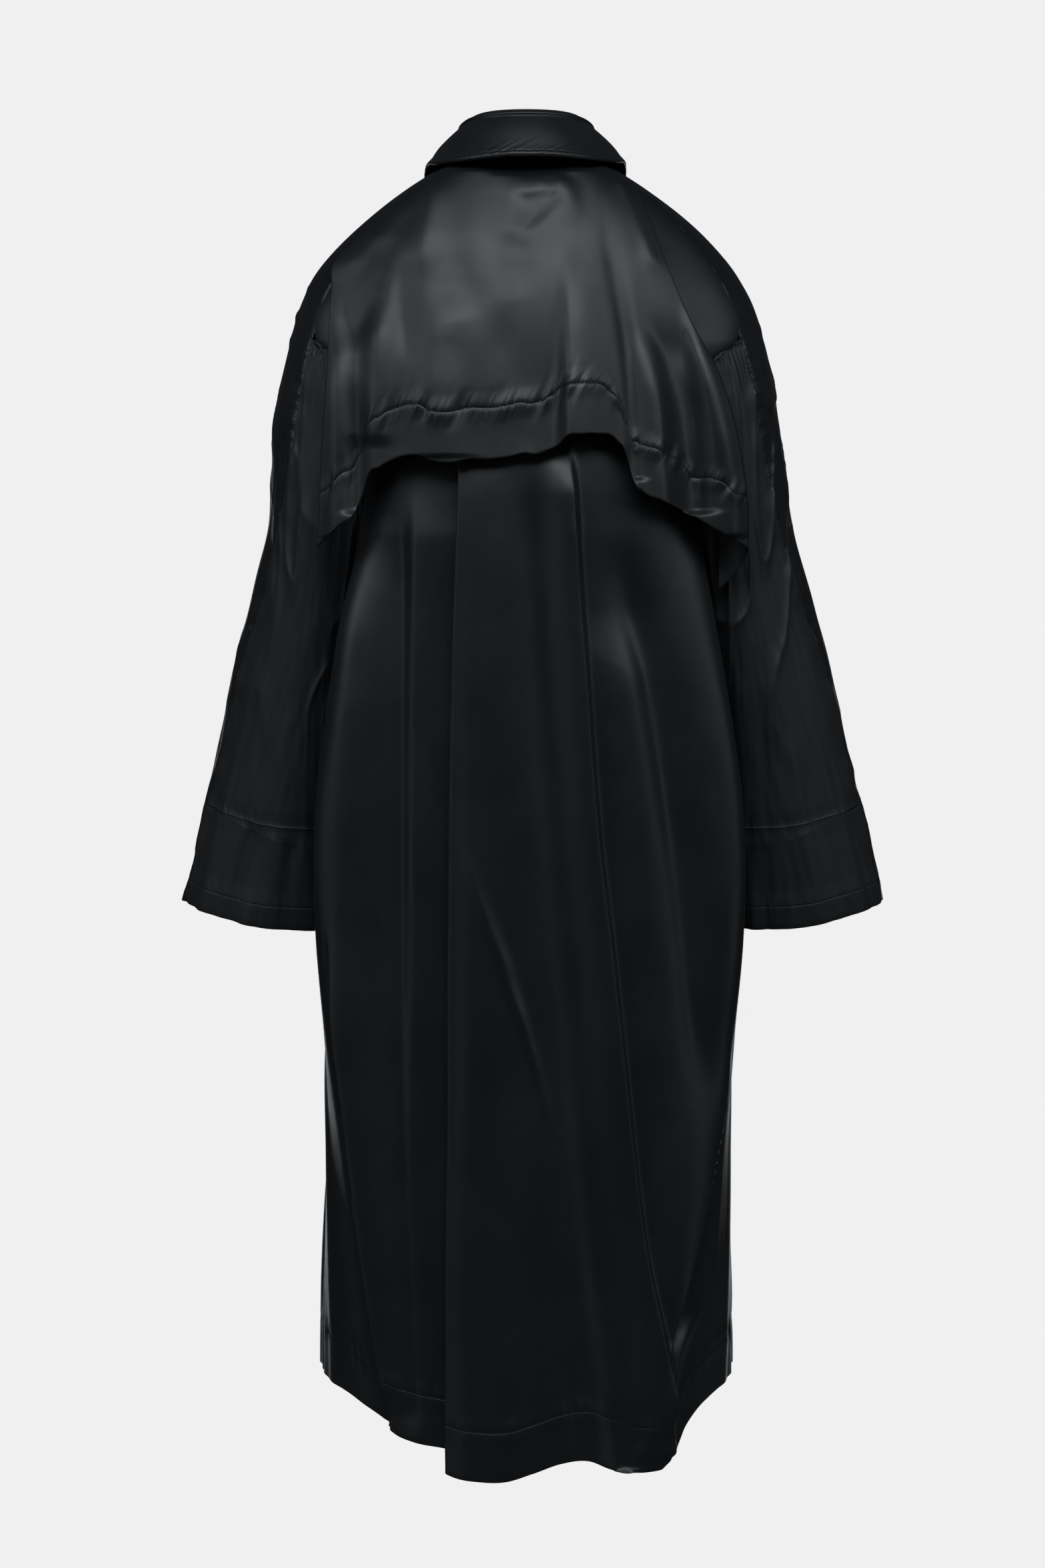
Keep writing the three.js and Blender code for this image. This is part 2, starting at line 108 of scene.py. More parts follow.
def turned(shares, depth, length):
    """Adds a turned-up hem to a run of shares that ends at 1. Lengths are in metres."""
    turn = np.linspace(0, math.pi, 7)[1:]
    round_edge = 1 + CLOTH / 2 * np.sin(turn) / length
    inside = np.linspace(1, 1 - depth / length, 12)[1:]
    drop = [0 * shares, -CLOTH / 2 * (1 - np.cos(turn)), np.full(len(inside), -CLOTH)]
    return np.concatenate([shares, round_edge, inside]), np.concatenate(drop)


def runs(place, axis):
    """Lengths along the rows or the columns of a grid of points."""
    steps = np.linalg.norm(np.diff(place, axis=axis), axis=-1)
    pad = [(1, 0) if a == axis else (0, 0) for a in (0, 1)]
    return np.cumsum(np.pad(steps, pad), axis=axis)


def lay(name, surface, us, vs, material, u_off=None, v_off=None, lines=(), ring=False, pucker=1.0):
    """A grid over surface(u, v). lines are (edge, distance in from it, whether it is stitched)."""
    u, v = np.meshgrid(us, vs)
    place = surface(u, v)
    normal = np.cross(surface(u, v + EPS) - place, surface(u + EPS, v) - place)
    normal /= np.maximum(np.linalg.norm(normal, axis=-1, keepdims=True), 1e-12)
    off = np.zeros_like(u)
    off += 0 if u_off is None else u_off[None, :]
    off += 0 if v_off is None else v_off[:, None]
    down, across = runs(place, 0), runs(place, 1)
    last_row, last_column = int(np.argmax(vs >= 1)) if vs.max() >= 1 else len(vs) - 1, len(us) - 1
    if u_off is not None and us.max() >= 1:
        last_column = int(np.argmax(us >= 1))
    gap, run, side = np.full(u.shape, 1.0), np.zeros_like(u), np.ones_like(u)
    for edge, inset, stitched in lines:
        from_edge, beside = {
            "top": (down, across), "hem": (np.abs(down - down[last_row]), across),
            "left": (across, down),
            "right": (np.abs(across - across[:, last_column : last_column + 1]), down),
        }[edge]
        s = from_edge - inset
        near = np.abs(s) < np.abs(gap)
        gap, run = np.where(near, s, gap), np.where(near, beside, run)
        side *= np.where(s < 0, -1, 1)
        if stitched:
            SEWN.setdefault(name, []).append((edge, s, last_row, last_column))
    gap = side * np.abs(gap)  # it changes sign at each line, and nowhere else
    groove = 0.0004 * np.exp(-((gap / 0.0022) ** 2))
    ripple = noise(run / 0.008, gap / 0.05 + 9, 3) + 0.5 * noise(run / 0.0035, gap / 0.03, 5)
    relief = pucker * 0.0007 * ripple * np.exp(-((gap / 0.013) ** 2)) - groove
    place = place + normal * (off + np.where(off < -1e-6, 0, relief))[..., None]
    sewn = []
    for edge, s, row, column in SEWN.pop(name, []):
        # The stitched line crosses each column of a hem, or each row of an edge, once.
        grid, face, s = (a if edge in ("top", "hem") else np.swapaxes(a, 0, 1) for a in (place, normal, s))
        stop = row if edge in ("top", "hem") else column
        crossing = []
        for k in range(grid.shape[1]):
            flips = np.nonzero(np.diff(np.sign(s[: stop + 1, k])))[0]
            if len(flips):
                i = flips[0]
                t = s[i, k] / (s[i, k] - s[i + 1, k] + 1e-12)
                crossing.append(mix(grid[i, k], grid[i + 1, k], t) + 0.0003 * face[i, k])
        other_turned = v_off is not None if edge in ("left", "right") else u_off is not None
        limit = (row if edge in ("left", "right") else column) if other_turned else len(crossing)
        sewn.append(np.array(crossing[: limit + 1]))
    SEWN[name] = [path for path in sewn if len(path) > 3]
    rows, columns = u.shape
    index = np.arange(rows * columns).reshape(rows, columns)
    if ring:
        index = np.concatenate([index, index[:, :1]], axis=1)
    quads = np.stack([index[:-1, :-1], index[1:, :-1], index[1:, 1:], index[:-1, 1:]], -1)
    mesh = bpy.data.meshes.new(name)
    mesh.from_pydata(place.reshape(-1, 3).tolist(), [], quads.reshape(-1, 4).tolist())
    mesh.shade_smooth()
    for key, values in (("seam", gap), ("run", run), ("under", (off < -CLOTH / 2) * 1.0)):
        mesh.attributes.new(key, "FLOAT", "POINT").data.foreach_set(
            "value", values.astype(np.float32).ravel()
        )
    uv = np.stack([across, down], -1).reshape(-1, 2)
    corners = np.empty(len(mesh.loops), int)
    mesh.loops.foreach_get("vertex_index", corners)
    mesh.uv_layers.new(name="UVMap").data.foreach_set("uv", uv[corners].ravel())
    piece = bpy.data.objects.new(name, mesh)
    bpy.context.scene.collection.objects.link(piece)
    mesh.materials.append(material)
    area = sum(face.area for face in mesh.polygons)
    CUT[name] = (float(across.max()), float(down.max()), area / (2 if ring else 1))
    return piece


def flipped(surface, side):
    """The surface for one side of the coat: drawn for the wearer's right, side 1."""
    if side == 1:
        return surface
    return lambda u, v: surface(1 - u, v) * np.array([-1, 1, 1])


class Nodes:
    """Short names for building a material's node tree."""

    def __init__(self, name):
        self.material = bpy.data.materials.new(name)
        self.material.use_nodes = True
        self.tree = self.material.node_tree
        self.shader = self.tree.nodes["Principled BSDF"]

    def add(self, kind, inputs=None, **settings):
        node = self.tree.nodes.new(kind)
        for key, value in settings.items():
            setattr(node, key, value)
        for key, value in (inputs or {}).items():
            self.set(node.inputs[key], value)
        return node

    def set(self, socket, value):
        if isinstance(value, bpy.types.NodeSocket):
            self.tree.links.new(value, socket)
        else:
            socket.default_value = value

    def finish(self, **sockets):
        for key, value in sockets.items():
            self.set(self.shader.inputs[key.replace("_", " ")], value)
        return self.material

    def math(self, operation, a, b=0.0, c=0.0):
        return self.add("ShaderNodeMath", {0: a, 1: b, 2: c}, operation=operation).outputs[0]

    def ramp(self, value, low, high, out_low=0.0, out_high=1.0):
        sockets = {"Value": value, "From Min": low, "From Max": high, "To Min": out_low, "To Max": out_high}
        return self.add("ShaderNodeMapRange", sockets, interpolation_type="SMOOTHSTEP").outputs["Result"]

    def colour(self, factor, a, b):
        sockets = {"Factor": factor, "A": a, "B": b}
        return self.add("ShaderNodeMix", sockets, data_type="RGBA").outputs[2]

    def attribute(self, name):
        return self.add("ShaderNodeAttribute", attribute_name=name).outputs["Fac"]

    def noise(self, vector, scale, detail=2.0, stretch=(1, 1, 1)):
        mapped = self.add("ShaderNodeMapping", {"Vector": vector, "Scale": stretch}).outputs["Vector"]
        sockets = {"Vector": mapped, "Scale": scale, "Detail": detail}
        return self.add("ShaderNodeTexNoise", sockets).outputs["Fac"]

    def bump(self, height):
        sockets = {"Height": height, "Strength": 1.0, "Distance": 1.0}
        return self.add("ShaderNodeBump", sockets).outputs["Normal"]


RIB, RIB_DEPTH = 0.0009, 0.000008
GROOVE, PUCKER_REACH = 0.0014, 0.016  # how far from a stitched line each is seen


def satin(name, face, roughness, sheen):
    """Weave, slubs, stitched grooves and the small puckers that run out of them."""
    n = Nodes(name)
    place = n.add("ShaderNodeTexCoord")
    uv, at = place.outputs["UV"], place.outputs["Object"]
    split = n.add("ShaderNodeSeparateXYZ", {"Vector": uv})
    seam, run, under = n.attribute("seam"), n.attribute("run"), n.attribute("under")
    gap = n.math("ABSOLUTE", seam)
    rib = n.math("SINE", n.math("MULTIPLY", split.outputs["X"], 2 * math.pi / RIB))
    slub = n.noise(uv, 1.0, 3, (900, 60, 1))
    crumple = n.noise(at, 24.0, 4, (1, 1, 0.6))
    groove = n.ramp(gap, 0.0, GROOVE, -1.0, 0.0)
    joined = n.add("ShaderNodeCombineXYZ", {"X": run, "Y": seam}).outputs["Vector"]
    pucker = n.noise(joined, 1.0, 2, (190, 30, 1))
    near = n.ramp(gap, 0.001, PUCKER_REACH, 1.0, 0.0)
    height = n.math("MULTIPLY", rib, RIB_DEPTH)
    relief = (slub, 0.00003), (crumple, 0.0005), (groove, 0.00025), (n.math("MULTIPLY", pucker, near), 0.0011)
    for part, size in relief:
        height = n.math("MULTIPLY_ADD", part, size, height)
    lit = (*(c * 1.5 for c in face), 1)
    tint = n.colour(n.noise(at, 5.0, 3), (*face, 1), lit)
    worn = n.math("MULTIPLY", n.ramp(slub, 0.45, 0.75), 0.12)
    colour = n.colour(worn, tint, (*(c * 2.2 for c in face), 1))
    back = n.add("ShaderNodeNewGeometry").outputs["Backfacing"]
    dull = n.math("MAXIMUM", back, under)
    rough = n.math("ADD", n.ramp(crumple, 0.3, 0.7, roughness - 0.02, roughness + 0.04),
                   n.math("MULTIPLY", dull, 0.18))
    return n.finish(Base_Color=colour, Roughness=rough, Normal=n.bump(height), Anisotropic=0.3,
                    Specular_IOR_Level=0.5, Sheen_Weight=sheen, Sheen_Roughness=0.4,
                    Sheen_Tint=(0.75, 0.85, 1.0, 1.0))


SATIN = satin("black_satin", (0.0042, 0.0050, 0.0060), 0.41, 0.02)
LINING = satin("dull_satin", (0.0055, 0.0056, 0.0062), 0.55, 0.02)

# Half outlines by drop: back depth, back corner x and y, side, front corner x and y, front depth.
# Round: 0 is the centre back, 0.2 the back corner, 0.3 the side and 0.5 the centre front.
BODY = [
    (-0.010, 0.058, 0.066, -0.028, 0.074, 0.058, 0.016, 0.024),
    (0.012, 0.080, 0.095, -0.042, 0.108, 0.084, 0.032, 0.048),
    (0.035, 0.091, 0.121, -0.050, 0.139, 0.108, 0.040, 0.060),
    (0.075, 0.104, 0.156, -0.057, 0.180, 0.142, 0.052, 0.078),
    (0.110, 0.112, 0.178, -0.062, 0.202, 0.161, 0.061, 0.092),
    (0.150, 0.118, 0.192, -0.065, 0.215, 0.170, 0.067, 0.102),
    (0.162, 0.119, 0.188, -0.070, 0.205, 0.171, 0.069, 0.104),
    (0.180, 0.120, 0.163, -0.084, 0.190, 0.168, 0.074, 0.107),
    (0.230, 0.123, 0.148, -0.089, 0.170, 0.158, 0.079, 0.113),
    (0.290, 0.125, 0.143, -0.086, 0.150, 0.150, 0.076, 0.118),
    (0.336, 0.126, 0.149, -0.086, 0.141, 0.143, 0.080, 0.121),
    (0.390, 0.126, 0.159, -0.091, 0.139, 0.136, 0.088, 0.123),
    (0.450, 0.127, 0.170, -0.096, 0.140, 0.133, 0.094, 0.126),
    (0.575, 0.130, 0.188, -0.104, 0.143, 0.129, 0.103, 0.130),
    (0.700, 0.133, 0.187, -0.106, 0.148, 0.130, 0.108, 0.134),
    (0.790, 0.137, 0.175, -0.107, 0.170, 0.140, 0.108, 0.138),
    (0.900, 0.143, 0.156, -0.112, 0.180, 0.147, 0.112, 0.142),
    (1.090, 0.156, 0.130, -0.121, 0.187, 0.150, 0.118, 0.149),
    (1.162, 0.162, 0.124, -0.124, 0.188, 0.150, 0.120, 0.152),
]
body = curve(BODY)


def body_at(share, drop, outline=body):
    """The body's surface at a share of the way round and a drop."""
    back, bx, by, side, fx, fy, front = np.moveaxis(outline(drop), -1, 0)
    zero = np.zeros_like(back)
    half = [(0.55 * bx, -0.94 * back), (bx, by), (side, zero), (fx, fy)]
    ring = [(zero, -back), *half, (zero, front), *((-x, y) for x, y in reversed(half))]
    px, py = (np.stack([p[k] for p in ring]) for k in (0, 1))
    at = np.mod(share, 1) * 10
    i = np.floor(at).astype(int) % 10
    t = at - np.floor(at)
    out = []
    for p in (px, py):
        a, b, c, d = (np.take_along_axis(p, ((i + k) % 10)[None], 0)[0] for k in (-1, 0, 1, 2))
        out.append(0.5 * (2 * b + (c - a) * t + (2 * a - 5 * b + 4 * c - d) * t**2
                          + (3 * b - a - 3 * c + d) * t**3))
    return np.stack([*out, -drop], -1)


def folded_share(share):
    """The share of the way round, folded onto the wearer's right half."""
    share = np.mod(share, 1)
    return np.where(share > 0.5, 1 - share, share)


def neck_drop(share):
    r = folded_share(share)
    return np.where(r <= 0.3, -0.010 * np.sin(math.pi / 2 * np.minimum(r / 0.3, 1)) ** 2,
                    mix(-0.010, 0.075, np.maximum(r - 0.3, 0) ** 2.24 / 0.2**2.24))


def out_by(points, height):
    """Moves points straight out from the coat's middle line by a height."""
    flat = points * np.array([1, 1, 0])
    flat = flat / np.maximum(np.linalg.norm(flat, axis=-1, keepdims=True), 1e-9)
    return points + flat * np.asarray(height)[..., None]


def yoke_surface(u, v):
    share = mix(-0.2, 0.2, u)
    drop = mix(neck_drop(share) + 0.001, 0.205, v)
    sunk = -0.003 * smooth((0.2 - np.abs(share)) / 0.05) + 0.001 * noise(share * 20, drop * 12, 2)
    return out_by(body_at(share, drop), sunk)


def between():
    """Gives a function that bakes a piece's placement into its mesh."""
    return lambda part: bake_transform(part)


def declare(piece, held, rests_on, attach, *nodes, slot="shell_satin"):
    """Gives a cloth piece its stitches, hides the parts it stands for and fixes both with attach."""
    extras = [stitches(piece)] if SEWN.get(piece.name) else []
    if nodes:
        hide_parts(*nodes)
    for part in (piece, *extras):
        attach(part)
    width, length, area = CUT[piece.name]
    area = min(area, width * length)
    return [piece, *extras]


def new_tree(name, sizes):
    """A Geometry Nodes tree with named inputs, from (name, kind, value), and their identifiers."""
    tree = bpy.data.node_groups.new(name, "GeometryNodeTree")
    face = tree.interface
    for way in ("OUTPUT", "INPUT"):
        face.new_socket("Geometry", in_out=way, socket_type="NodeSocketGeometry")
    inputs = {}
    for label, kind, value in sizes:
        socket = face.new_socket(label, in_out="INPUT", socket_type="NodeSocket" + kind)
        inputs[socket.identifier] = value
    return tree, inputs


def end_tree(tree, put, material):
    """Makes what a tree has put on its points real, in one material."""
    new, link = tree.nodes.new, tree.links.new
    real, finish = new("GeometryNodeRealizeInstances"), new("GeometryNodeSetMaterial")
    finish.inputs["Material"].default_value = material
    link(put.outputs["Instances"], real.inputs["Geometry"])
    link(real.outputs["Geometry"], finish.inputs["Geometry"])
    link(finish.outputs["Geometry"], new("NodeGroupOutput").inputs["Geometry"])


def stitches(piece):
    """Sewing thread along a piece's stitched lines: a rounded stitch every few millimetres."""
    sizes = (("Pitch", 0.0034), ("Length", 0.0026), ("Thread", 0.0005))
    tree, inputs = new_tree("stitches", [(label, "Float", value) for label, value in sizes])
    new, link = tree.nodes.new, tree.links.new
    given = new("NodeGroupInput")
    path, spaced = new("GeometryNodeMeshToCurve"), new("GeometryNodeResampleCurve")
    spaced.mode = "LENGTH"
    link(given.outputs["Geometry"], path.inputs["Mesh"])
    link(path.outputs["Curve"], spaced.inputs["Curve"])
    link(given.outputs["Pitch"], spaced.inputs["Length"])
    tangent, turn = new("GeometryNodeInputTangent"), new("FunctionNodeAlignRotationToVector")
    turn.axis = "Z"
    link(tangent.outputs["Tangent"], turn.inputs["Vector"])
    ball, size = new("GeometryNodeMeshIcoSphere"), new("ShaderNodeCombineXYZ")
    ball.inputs["Radius"].default_value = 0.5
    for axis, label in (("X", "Thread"), ("Y", "Thread"), ("Z", "Length")):
        link(given.outputs[label], size.inputs[axis])
    put = new("GeometryNodeInstanceOnPoints")
    link(spaced.outputs["Curve"], put.inputs["Points"])
    link(ball.outputs["Mesh"], put.inputs["Instance"])
    link(turn.outputs["Rotation"], put.inputs["Rotation"])
    link(size.outputs["Vector"], put.inputs["Scale"])
    end_tree(tree, put, THREAD)
    points, edges = [], []
    for line in SEWN[piece.name]:
        first = len(points)
        points += line.tolist()
        edges += [(first + k, first + k + 1) for k in range(len(line) - 1)]
    return grown(piece.name + "_stitches", points, edges, tree, inputs)


def grown(name, points, edges, tree, inputs):
    """A plain mesh made by a Geometry Nodes tree from some points."""
    seed_mesh = bpy.data.meshes.new(name)
    seed_mesh.from_pydata(points, edges, [])
    seed = bpy.data.objects.new(name + "_path", seed_mesh)
    bpy.context.scene.collection.objects.link(seed)
    modifier = seed.modifiers.new("nodes", "NODES")
    modifier.node_group = tree
    for identifier, value in inputs.items():
        modifier[identifier] = value
    ready = seed.evaluated_get(bpy.context.evaluated_depsgraph_get())
    mesh = bpy.data.meshes.new_from_object(ready)
    mesh.name = name
    bpy.data.objects.remove(seed)
    mesh.shade_smooth()
    piece = bpy.data.objects.new(name, mesh)
    bpy.context.scene.collection.objects.link(piece)
    return piece


n = Nodes("black_thread")
at = n.add("ShaderNodeTexCoord").outputs["Object"]
twist = n.noise(at, 2600.0, 1)
THREAD = n.finish(Base_Color=n.colour(twist, (0.004, 0.004, 0.005, 1), (0.012, 0.012, 0.014, 1)),
                  Roughness=n.ramp(twist, 0.3, 0.7, 0.42, 0.6), Sheen_Weight=0.1)

on_coat = lambda piece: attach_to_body(piece, "coat_body")
yoke = lay("back_yoke_cloth", yoke_surface, np.linspace(0, 1, 110), np.linspace(0, 1, 70), SATIN,
           lines=[("hem", 0.008, True)])
declare(yoke, "hung", [], on_coat, "back_yoke")

# --- Back panels -----------------------------------------------------------------------------
# The right back laps over the left along a pressed pleat edge. Both turn back at crisp folds near
# the sides, where the side panels show behind them. Hems are turned up and stitched 42 mm above.
PLEAT = ((-0.064, -0.190), (-0.064, -0.690), (-0.0655, -0.820), (-0.068, -0.985), (-0.070, -1.200))
RIGHT_FOLD = ((0.040, -0.250), (0.047, -0.390), (0.061, -0.592), (0.071, -0.690), (0.085, -0.832),
              (0.099, -0.970), (0.110, -1.052), (0.117, -1.114), (0.122, -1.164))
RIGHT_TURN = ((0.180, -0.760), (0.172, -0.840), (0.150, -0.927), (0.128, -1.009), (0.114, -1.060),
              (0.112, -1.090))
LEFT_TURN = ((-0.178, -0.680), (-0.168, -0.756), (-0.155, -0.845), (-0.142, -0.953), (-0.129, -1.045),
             (-0.118, -1.120))
right_hem = curve([
    (-0.080, 1.172), (-0.066, 1.177), (-0.042, 1.180), (-0.018, 1.180), (0.006, 1.173),
    (0.030, 1.165), (0.054, 1.163), (0.078, 1.172), (0.096, 1.175), (0.114, 1.173),
    (0.126, 1.164), (0.138, 1.148), (0.150, 1.137), (0.174, 1.116), (0.188, 1.099),
])
left_hem = curve([
    (-0.188, 1.086), (-0.174, 1.099), (-0.150, 1.115), (-0.126, 1.134), (-0.114, 1.144),
    (-0.102, 1.149), (-0.078, 1.154), (-0.060, 1.157), (0.020, 1.158),
])
hem_round = curve([(0.2, 1.120), (0.26, 1.100), (0.3, 1.094), (0.4, 1.086), (0.5, 1.080)])
HEM = 0.042
# The share at which a back panel ends: down the armhole, then at the side seam.
back_side = curve([(0.10, 0.2), (0.24, 0.2), (0.285, 0.212), (0.32, 0.250), (0.338, 0.298),
                   (0.36, 0.3), (1.3, 0.3)])


def along(x, z, path, steps=24):
    """Signed distance from a path of (x, z) points, positive on the +X side of one that runs
    down, and the share of the way along it."""
    points = curve([(i, *p[:2]) for i, p in enumerate(path)])(np.linspace(0, len(path) - 1, steps))
    best = np.full(np.shape(x), 1e9)
    sign, share = np.zeros_like(best), np.zeros_like(best)
    for k in range(steps - 1):
        (x0, z0), (dx, dz) = points[k], points[k + 1] - points[k]
        t = np.clip(((x - x0) * dx + (z - z0) * dz) / (dx * dx + dz * dz), 0, 1)
        ox, oz = x - x0 - t * dx, z - z0 - t * dz
        distance = np.hypot(ox, oz)
        near = distance < best
        best = np.where(near, distance, best)
        sign = np.where(near, np.sign(oz * dx - ox * dz), sign)
        share = np.where(near, (k + t) / (steps - 1), share)
    return best * sign, share


def fold(x, z, path, height, left, right=None, fade=(0.25, 0.25)):
    """A soft fold along a path: its height, and its width on the -X side and on the +X side."""
    s, t = along(x, z, path)
    width = np.where(s < 0, left, right or left)
    ends = smooth(t / max(fade[0], 1e-6)) * smooth((1 - t) / max(fade[1], 1e-6))
    return height * ends * np.exp(-((s / width) ** 2))


def ledge(x, z, path, height, width, side, fade=0.3):
    """Cloth that stands out on the inner side of a path and turns back at a crisp edge."""
    s, t = along(x, z, path)
    inward = np.maximum(-side * s, 0)
    return height * smooth(0.5 - side * s / width) * np.exp(-((inward / 0.035) ** 2)) * smooth(t / fade)


def wrinkles(x, y, seed):
    """Sharp-crested creases from 0 to 1, running along y."""
    bend = 0.6 * noise(x * 0.7 + 3, y * 0.9, seed + 1)
    return (1 - np.abs(noise(x + bend, y, seed))) ** 4


def shifted(path, by):
    return [(x + by, z) for x, z in path]


def hem_drop(share, table=right_hem):
    """The hem's drop: it dips and rises at the back and eases up towards the front."""
    r = folded_share(share)
    x = body_at(share, np.full(np.shape(share), 1.1))[..., 0]
    behind = table(x) - 0.012
    return mix(behind, hem_round(np.maximum(r, 0.2)), smooth((r - 0.17) / 0.06))


LONG = 0.10, 0.01
BODY_FOLDS = (  # path, height, width on its -X and +X sides, fades
    (shifted(RIGHT_FOLD, -0.006), 0.0115, 0.020, 0.0055, (0.05, 0.01)),
    (shifted(RIGHT_FOLD, -0.036), -0.0055, 0.016, 0.018, LONG),
    (((0.068, -0.40), (0.092, -0.60), (0.104, -0.80), (0.122, -1.03), (0.130, -1.15)),
     0.0075, 0.024, 0.030, LONG),
    (((0.078, -0.33), (0.112, -0.47), (0.140, -0.63), (0.156, -0.80), (0.164, -0.97)),
     -0.0095, 0.019, 0.016, (0.15, 0.3)),
    (shifted(PLEAT, 0.022), 0.0060, 0.020, 0.036, (0.1, 0.01)),
    (((-0.092, -0.28), (-0.095, -0.60), (-0.090, -0.90)), 0.0050, 0.011, 0.020, (0.1, 0.5)),
    (((-0.117, -0.28), (-0.120, -0.62), (-0.117, -0.88), (-0.100, -1.15)),
     -0.0080, 0.013, 0.012, (0.1, 0.05)),
    (((-0.150, -0.35), (-0.156, -0.62), (-0.146, -0.88), (-0.126, -1.12)),
     0.0060, 0.020, 0.017, (0.1, 0.05)),
)


def body_folds(points, share):
    """Fold heights for the body, out from its middle line."""
    x, z = points[..., 0], points[..., 2]
    r = folded_share(share)
    behind = smooth((0.27 - r) / 0.06)
    low = smooth((-0.25 - z) / 0.35)
    height = sum(fold(x, z, *each) for each in BODY_FOLDS)
    height += ledge(x, z, RIGHT_TURN, 0.010, 0.005, 1)
    height += ledge(x, z, LEFT_TURN, 0.010, 0.005, -1)
    for k in range(4):
        height += fold(x, z, ((0.150 - 0.013 * k, -1.010 - 0.012 * k), (0.120 - 0.002 * k, -1.075),
                              (0.126 - 0.011 * k, -1.165)), 0.0028, 0.005, 0.006, (0.3, 0.1))
        height += fold(x, z, ((-0.058 + 0.01 * k, -0.60 - 0.035 * k), (-0.030 + 0.012 * k, -0.68 - 0.04 * k),
                              (-0.008 + 0.01 * k, -0.74 - 0.045 * k)), 0.0011, 0.0035, 0.005)
    cloth = 0.0030 * noise(x * 12, z * 1.8, 4) + 0.0012 * noise(x * 30, z * 4, 9)
    cloth += 0.0012 * wrinkles(x * 14 + 5, z * 3.0, 21) * smooth((z + 0.62) / 0.2)
    front = (1 - behind) * (0.006 * noise(r * 34, z * 1.6, 31) + 0.003 * noise(r * 80, z * 3, 32))
    front *= smooth((0.465 - r) / 0.03)
    return behind * height + cloth * mix(0.4, 1, low) * smooth((0.48 - r) / 0.03) + front * low


def share_of_x(x, drop):
    """The share round the back at which the body is at x."""
    shares = np.linspace(-0.2, 0.2, 161)
    xs = body_at(shares, np.full(161, drop))[..., 0]
    return np.interp(x, xs, shares)


pleat_share = curve([(-z, share_of_x(x, -z)) for x, z in PLEAT])
PANEL_TOP = 0.19
LAP = 0.0060  # how far the right back stands out over the left


def right_back(u, v):
    drop = mix(PANEL_TOP, 1.16, v)
    share = mix(pleat_share(drop), np.minimum(back_side(drop), 0.3), u)
    drop = mix(PANEL_TOP, hem_drop(share), v)
    points = body_at(share, drop)
    lap = LAP * smooth((0.28 - share) / 0.05) * smooth((drop - PANEL_TOP) / 0.12)
    return out_by(points, body_folds(points, share) + lap)


def left_back(u, v):
    drop = mix(PANEL_TOP, 1.145, v)
    pleat = pleat_share(drop)
    share = mix(-np.minimum(back_side(drop), 0.3), pleat + 0.045, u)
    drop = mix(PANEL_TOP, hem_drop(share, left_hem), v)
    points = body_at(share, drop)
    tuck = smooth((share - pleat + 0.06) / 0.06)
    return out_by(points, body_folds(points, share) * (1 - 0.7 * tuck) - 0.004 * tuck)


# The pleat's edge rolls under and runs back inside for a hand's width.
turn = np.linspace(0, math.pi, 7)[1:]
lap_roll, lap_under = -0.0022 * np.sin(turn) / 0.25, np.linspace(0, 0.11, 8)[1:]
us = np.concatenate([lap_under[::-1], lap_roll[::-1], np.linspace(0, 1, 210)])
us_off = np.concatenate([np.full(7, -0.0040), -0.0020 * (1 - np.cos(turn[::-1])), np.zeros(210)])
rows, rows_off = turned(np.linspace(0, 1, 330), HEM, 0.95)
back_right = lay("back_right", right_back, us, rows, SATIN, us_off, rows_off, [("hem", HEM, True)])
back_left = lay("back_left", left_back, np.linspace(0, 1, 180), rows, SATIN, None, rows_off,
                [("hem", HEM, True)])
declare(back_right, "hung", [yoke, back_left], on_coat, "back_panel_right", "back_box_pleat")
declare(back_left, "hung", [yoke], on_coat, "back_panel_left", "hem_facing")

# --- Fronts ----------------------------------------------------------------------------------
# Each front runs from the side seam to its free edge, which is folded back 45 mm as a facing. The
# wearer's right front laps over the left.
front_side = curve([(-0.05, 0.4), (0.235, 0.4), (0.285, 0.386), (0.320, 0.350), (0.338, 0.302),
                    (0.36, 0.3), (1.3, 0.3)])
FRONT_PAST = 0.022  # the free edge's distance beyond the centre line
FRONT_LIFT = {"right": 0.0082, "left": 0.0}


def front_points(share, drop, lift):
    points = body_at(share, drop)
    points = out_by(points, body_folds(points, share))
    points[..., 1] += lift * smooth((0.075 - points[..., 0]) / 0.05)
    return points


def front(lift):
    def surface(u, v):
        drop = mix(0.0, 1.09, v)
        share = mix(np.clip(front_side(drop), 0.3, 0.4), 0.5, u)
        drop = mix(neck_drop(share) + 0.001, hem_drop(share), v)
        points = front_points(share, drop, lift)
        points[..., 0] -= FRONT_PAST * smooth((u - 0.80) / 0.20)
        return points

    return surface


front_pieces = {}
for side, sign in SIDES:
    body_name = "front_outer" if side == "right" else "front_inner"
    us, us_off = turned(np.linspace(0, 1, 130), 0.045, 0.25)
    rows, rows_off = turned(np.linspace(0, 1, 260), HEM, 1.05)
    if sign < 0:
        us, us_off = 1 - us[::-1], us_off[::-1]
    free = "right" if sign > 0 else "left"
    on_front = between()
    piece = lay(f"front_{side}_cloth", flipped(front(FRONT_LIFT[side]), sign), us, rows, SATIN, us_off,
                rows_off, [("hem", HEM, True)] + ([(free, 0.040, True)] if sign > 0 else []))
    declare(piece, "hung", [], on_front, f"front_panel_{side}", f"front_edge_{side}",
            f"front_facing_{side}", f"side_panel_{side}")
    front_pieces[side] = piece

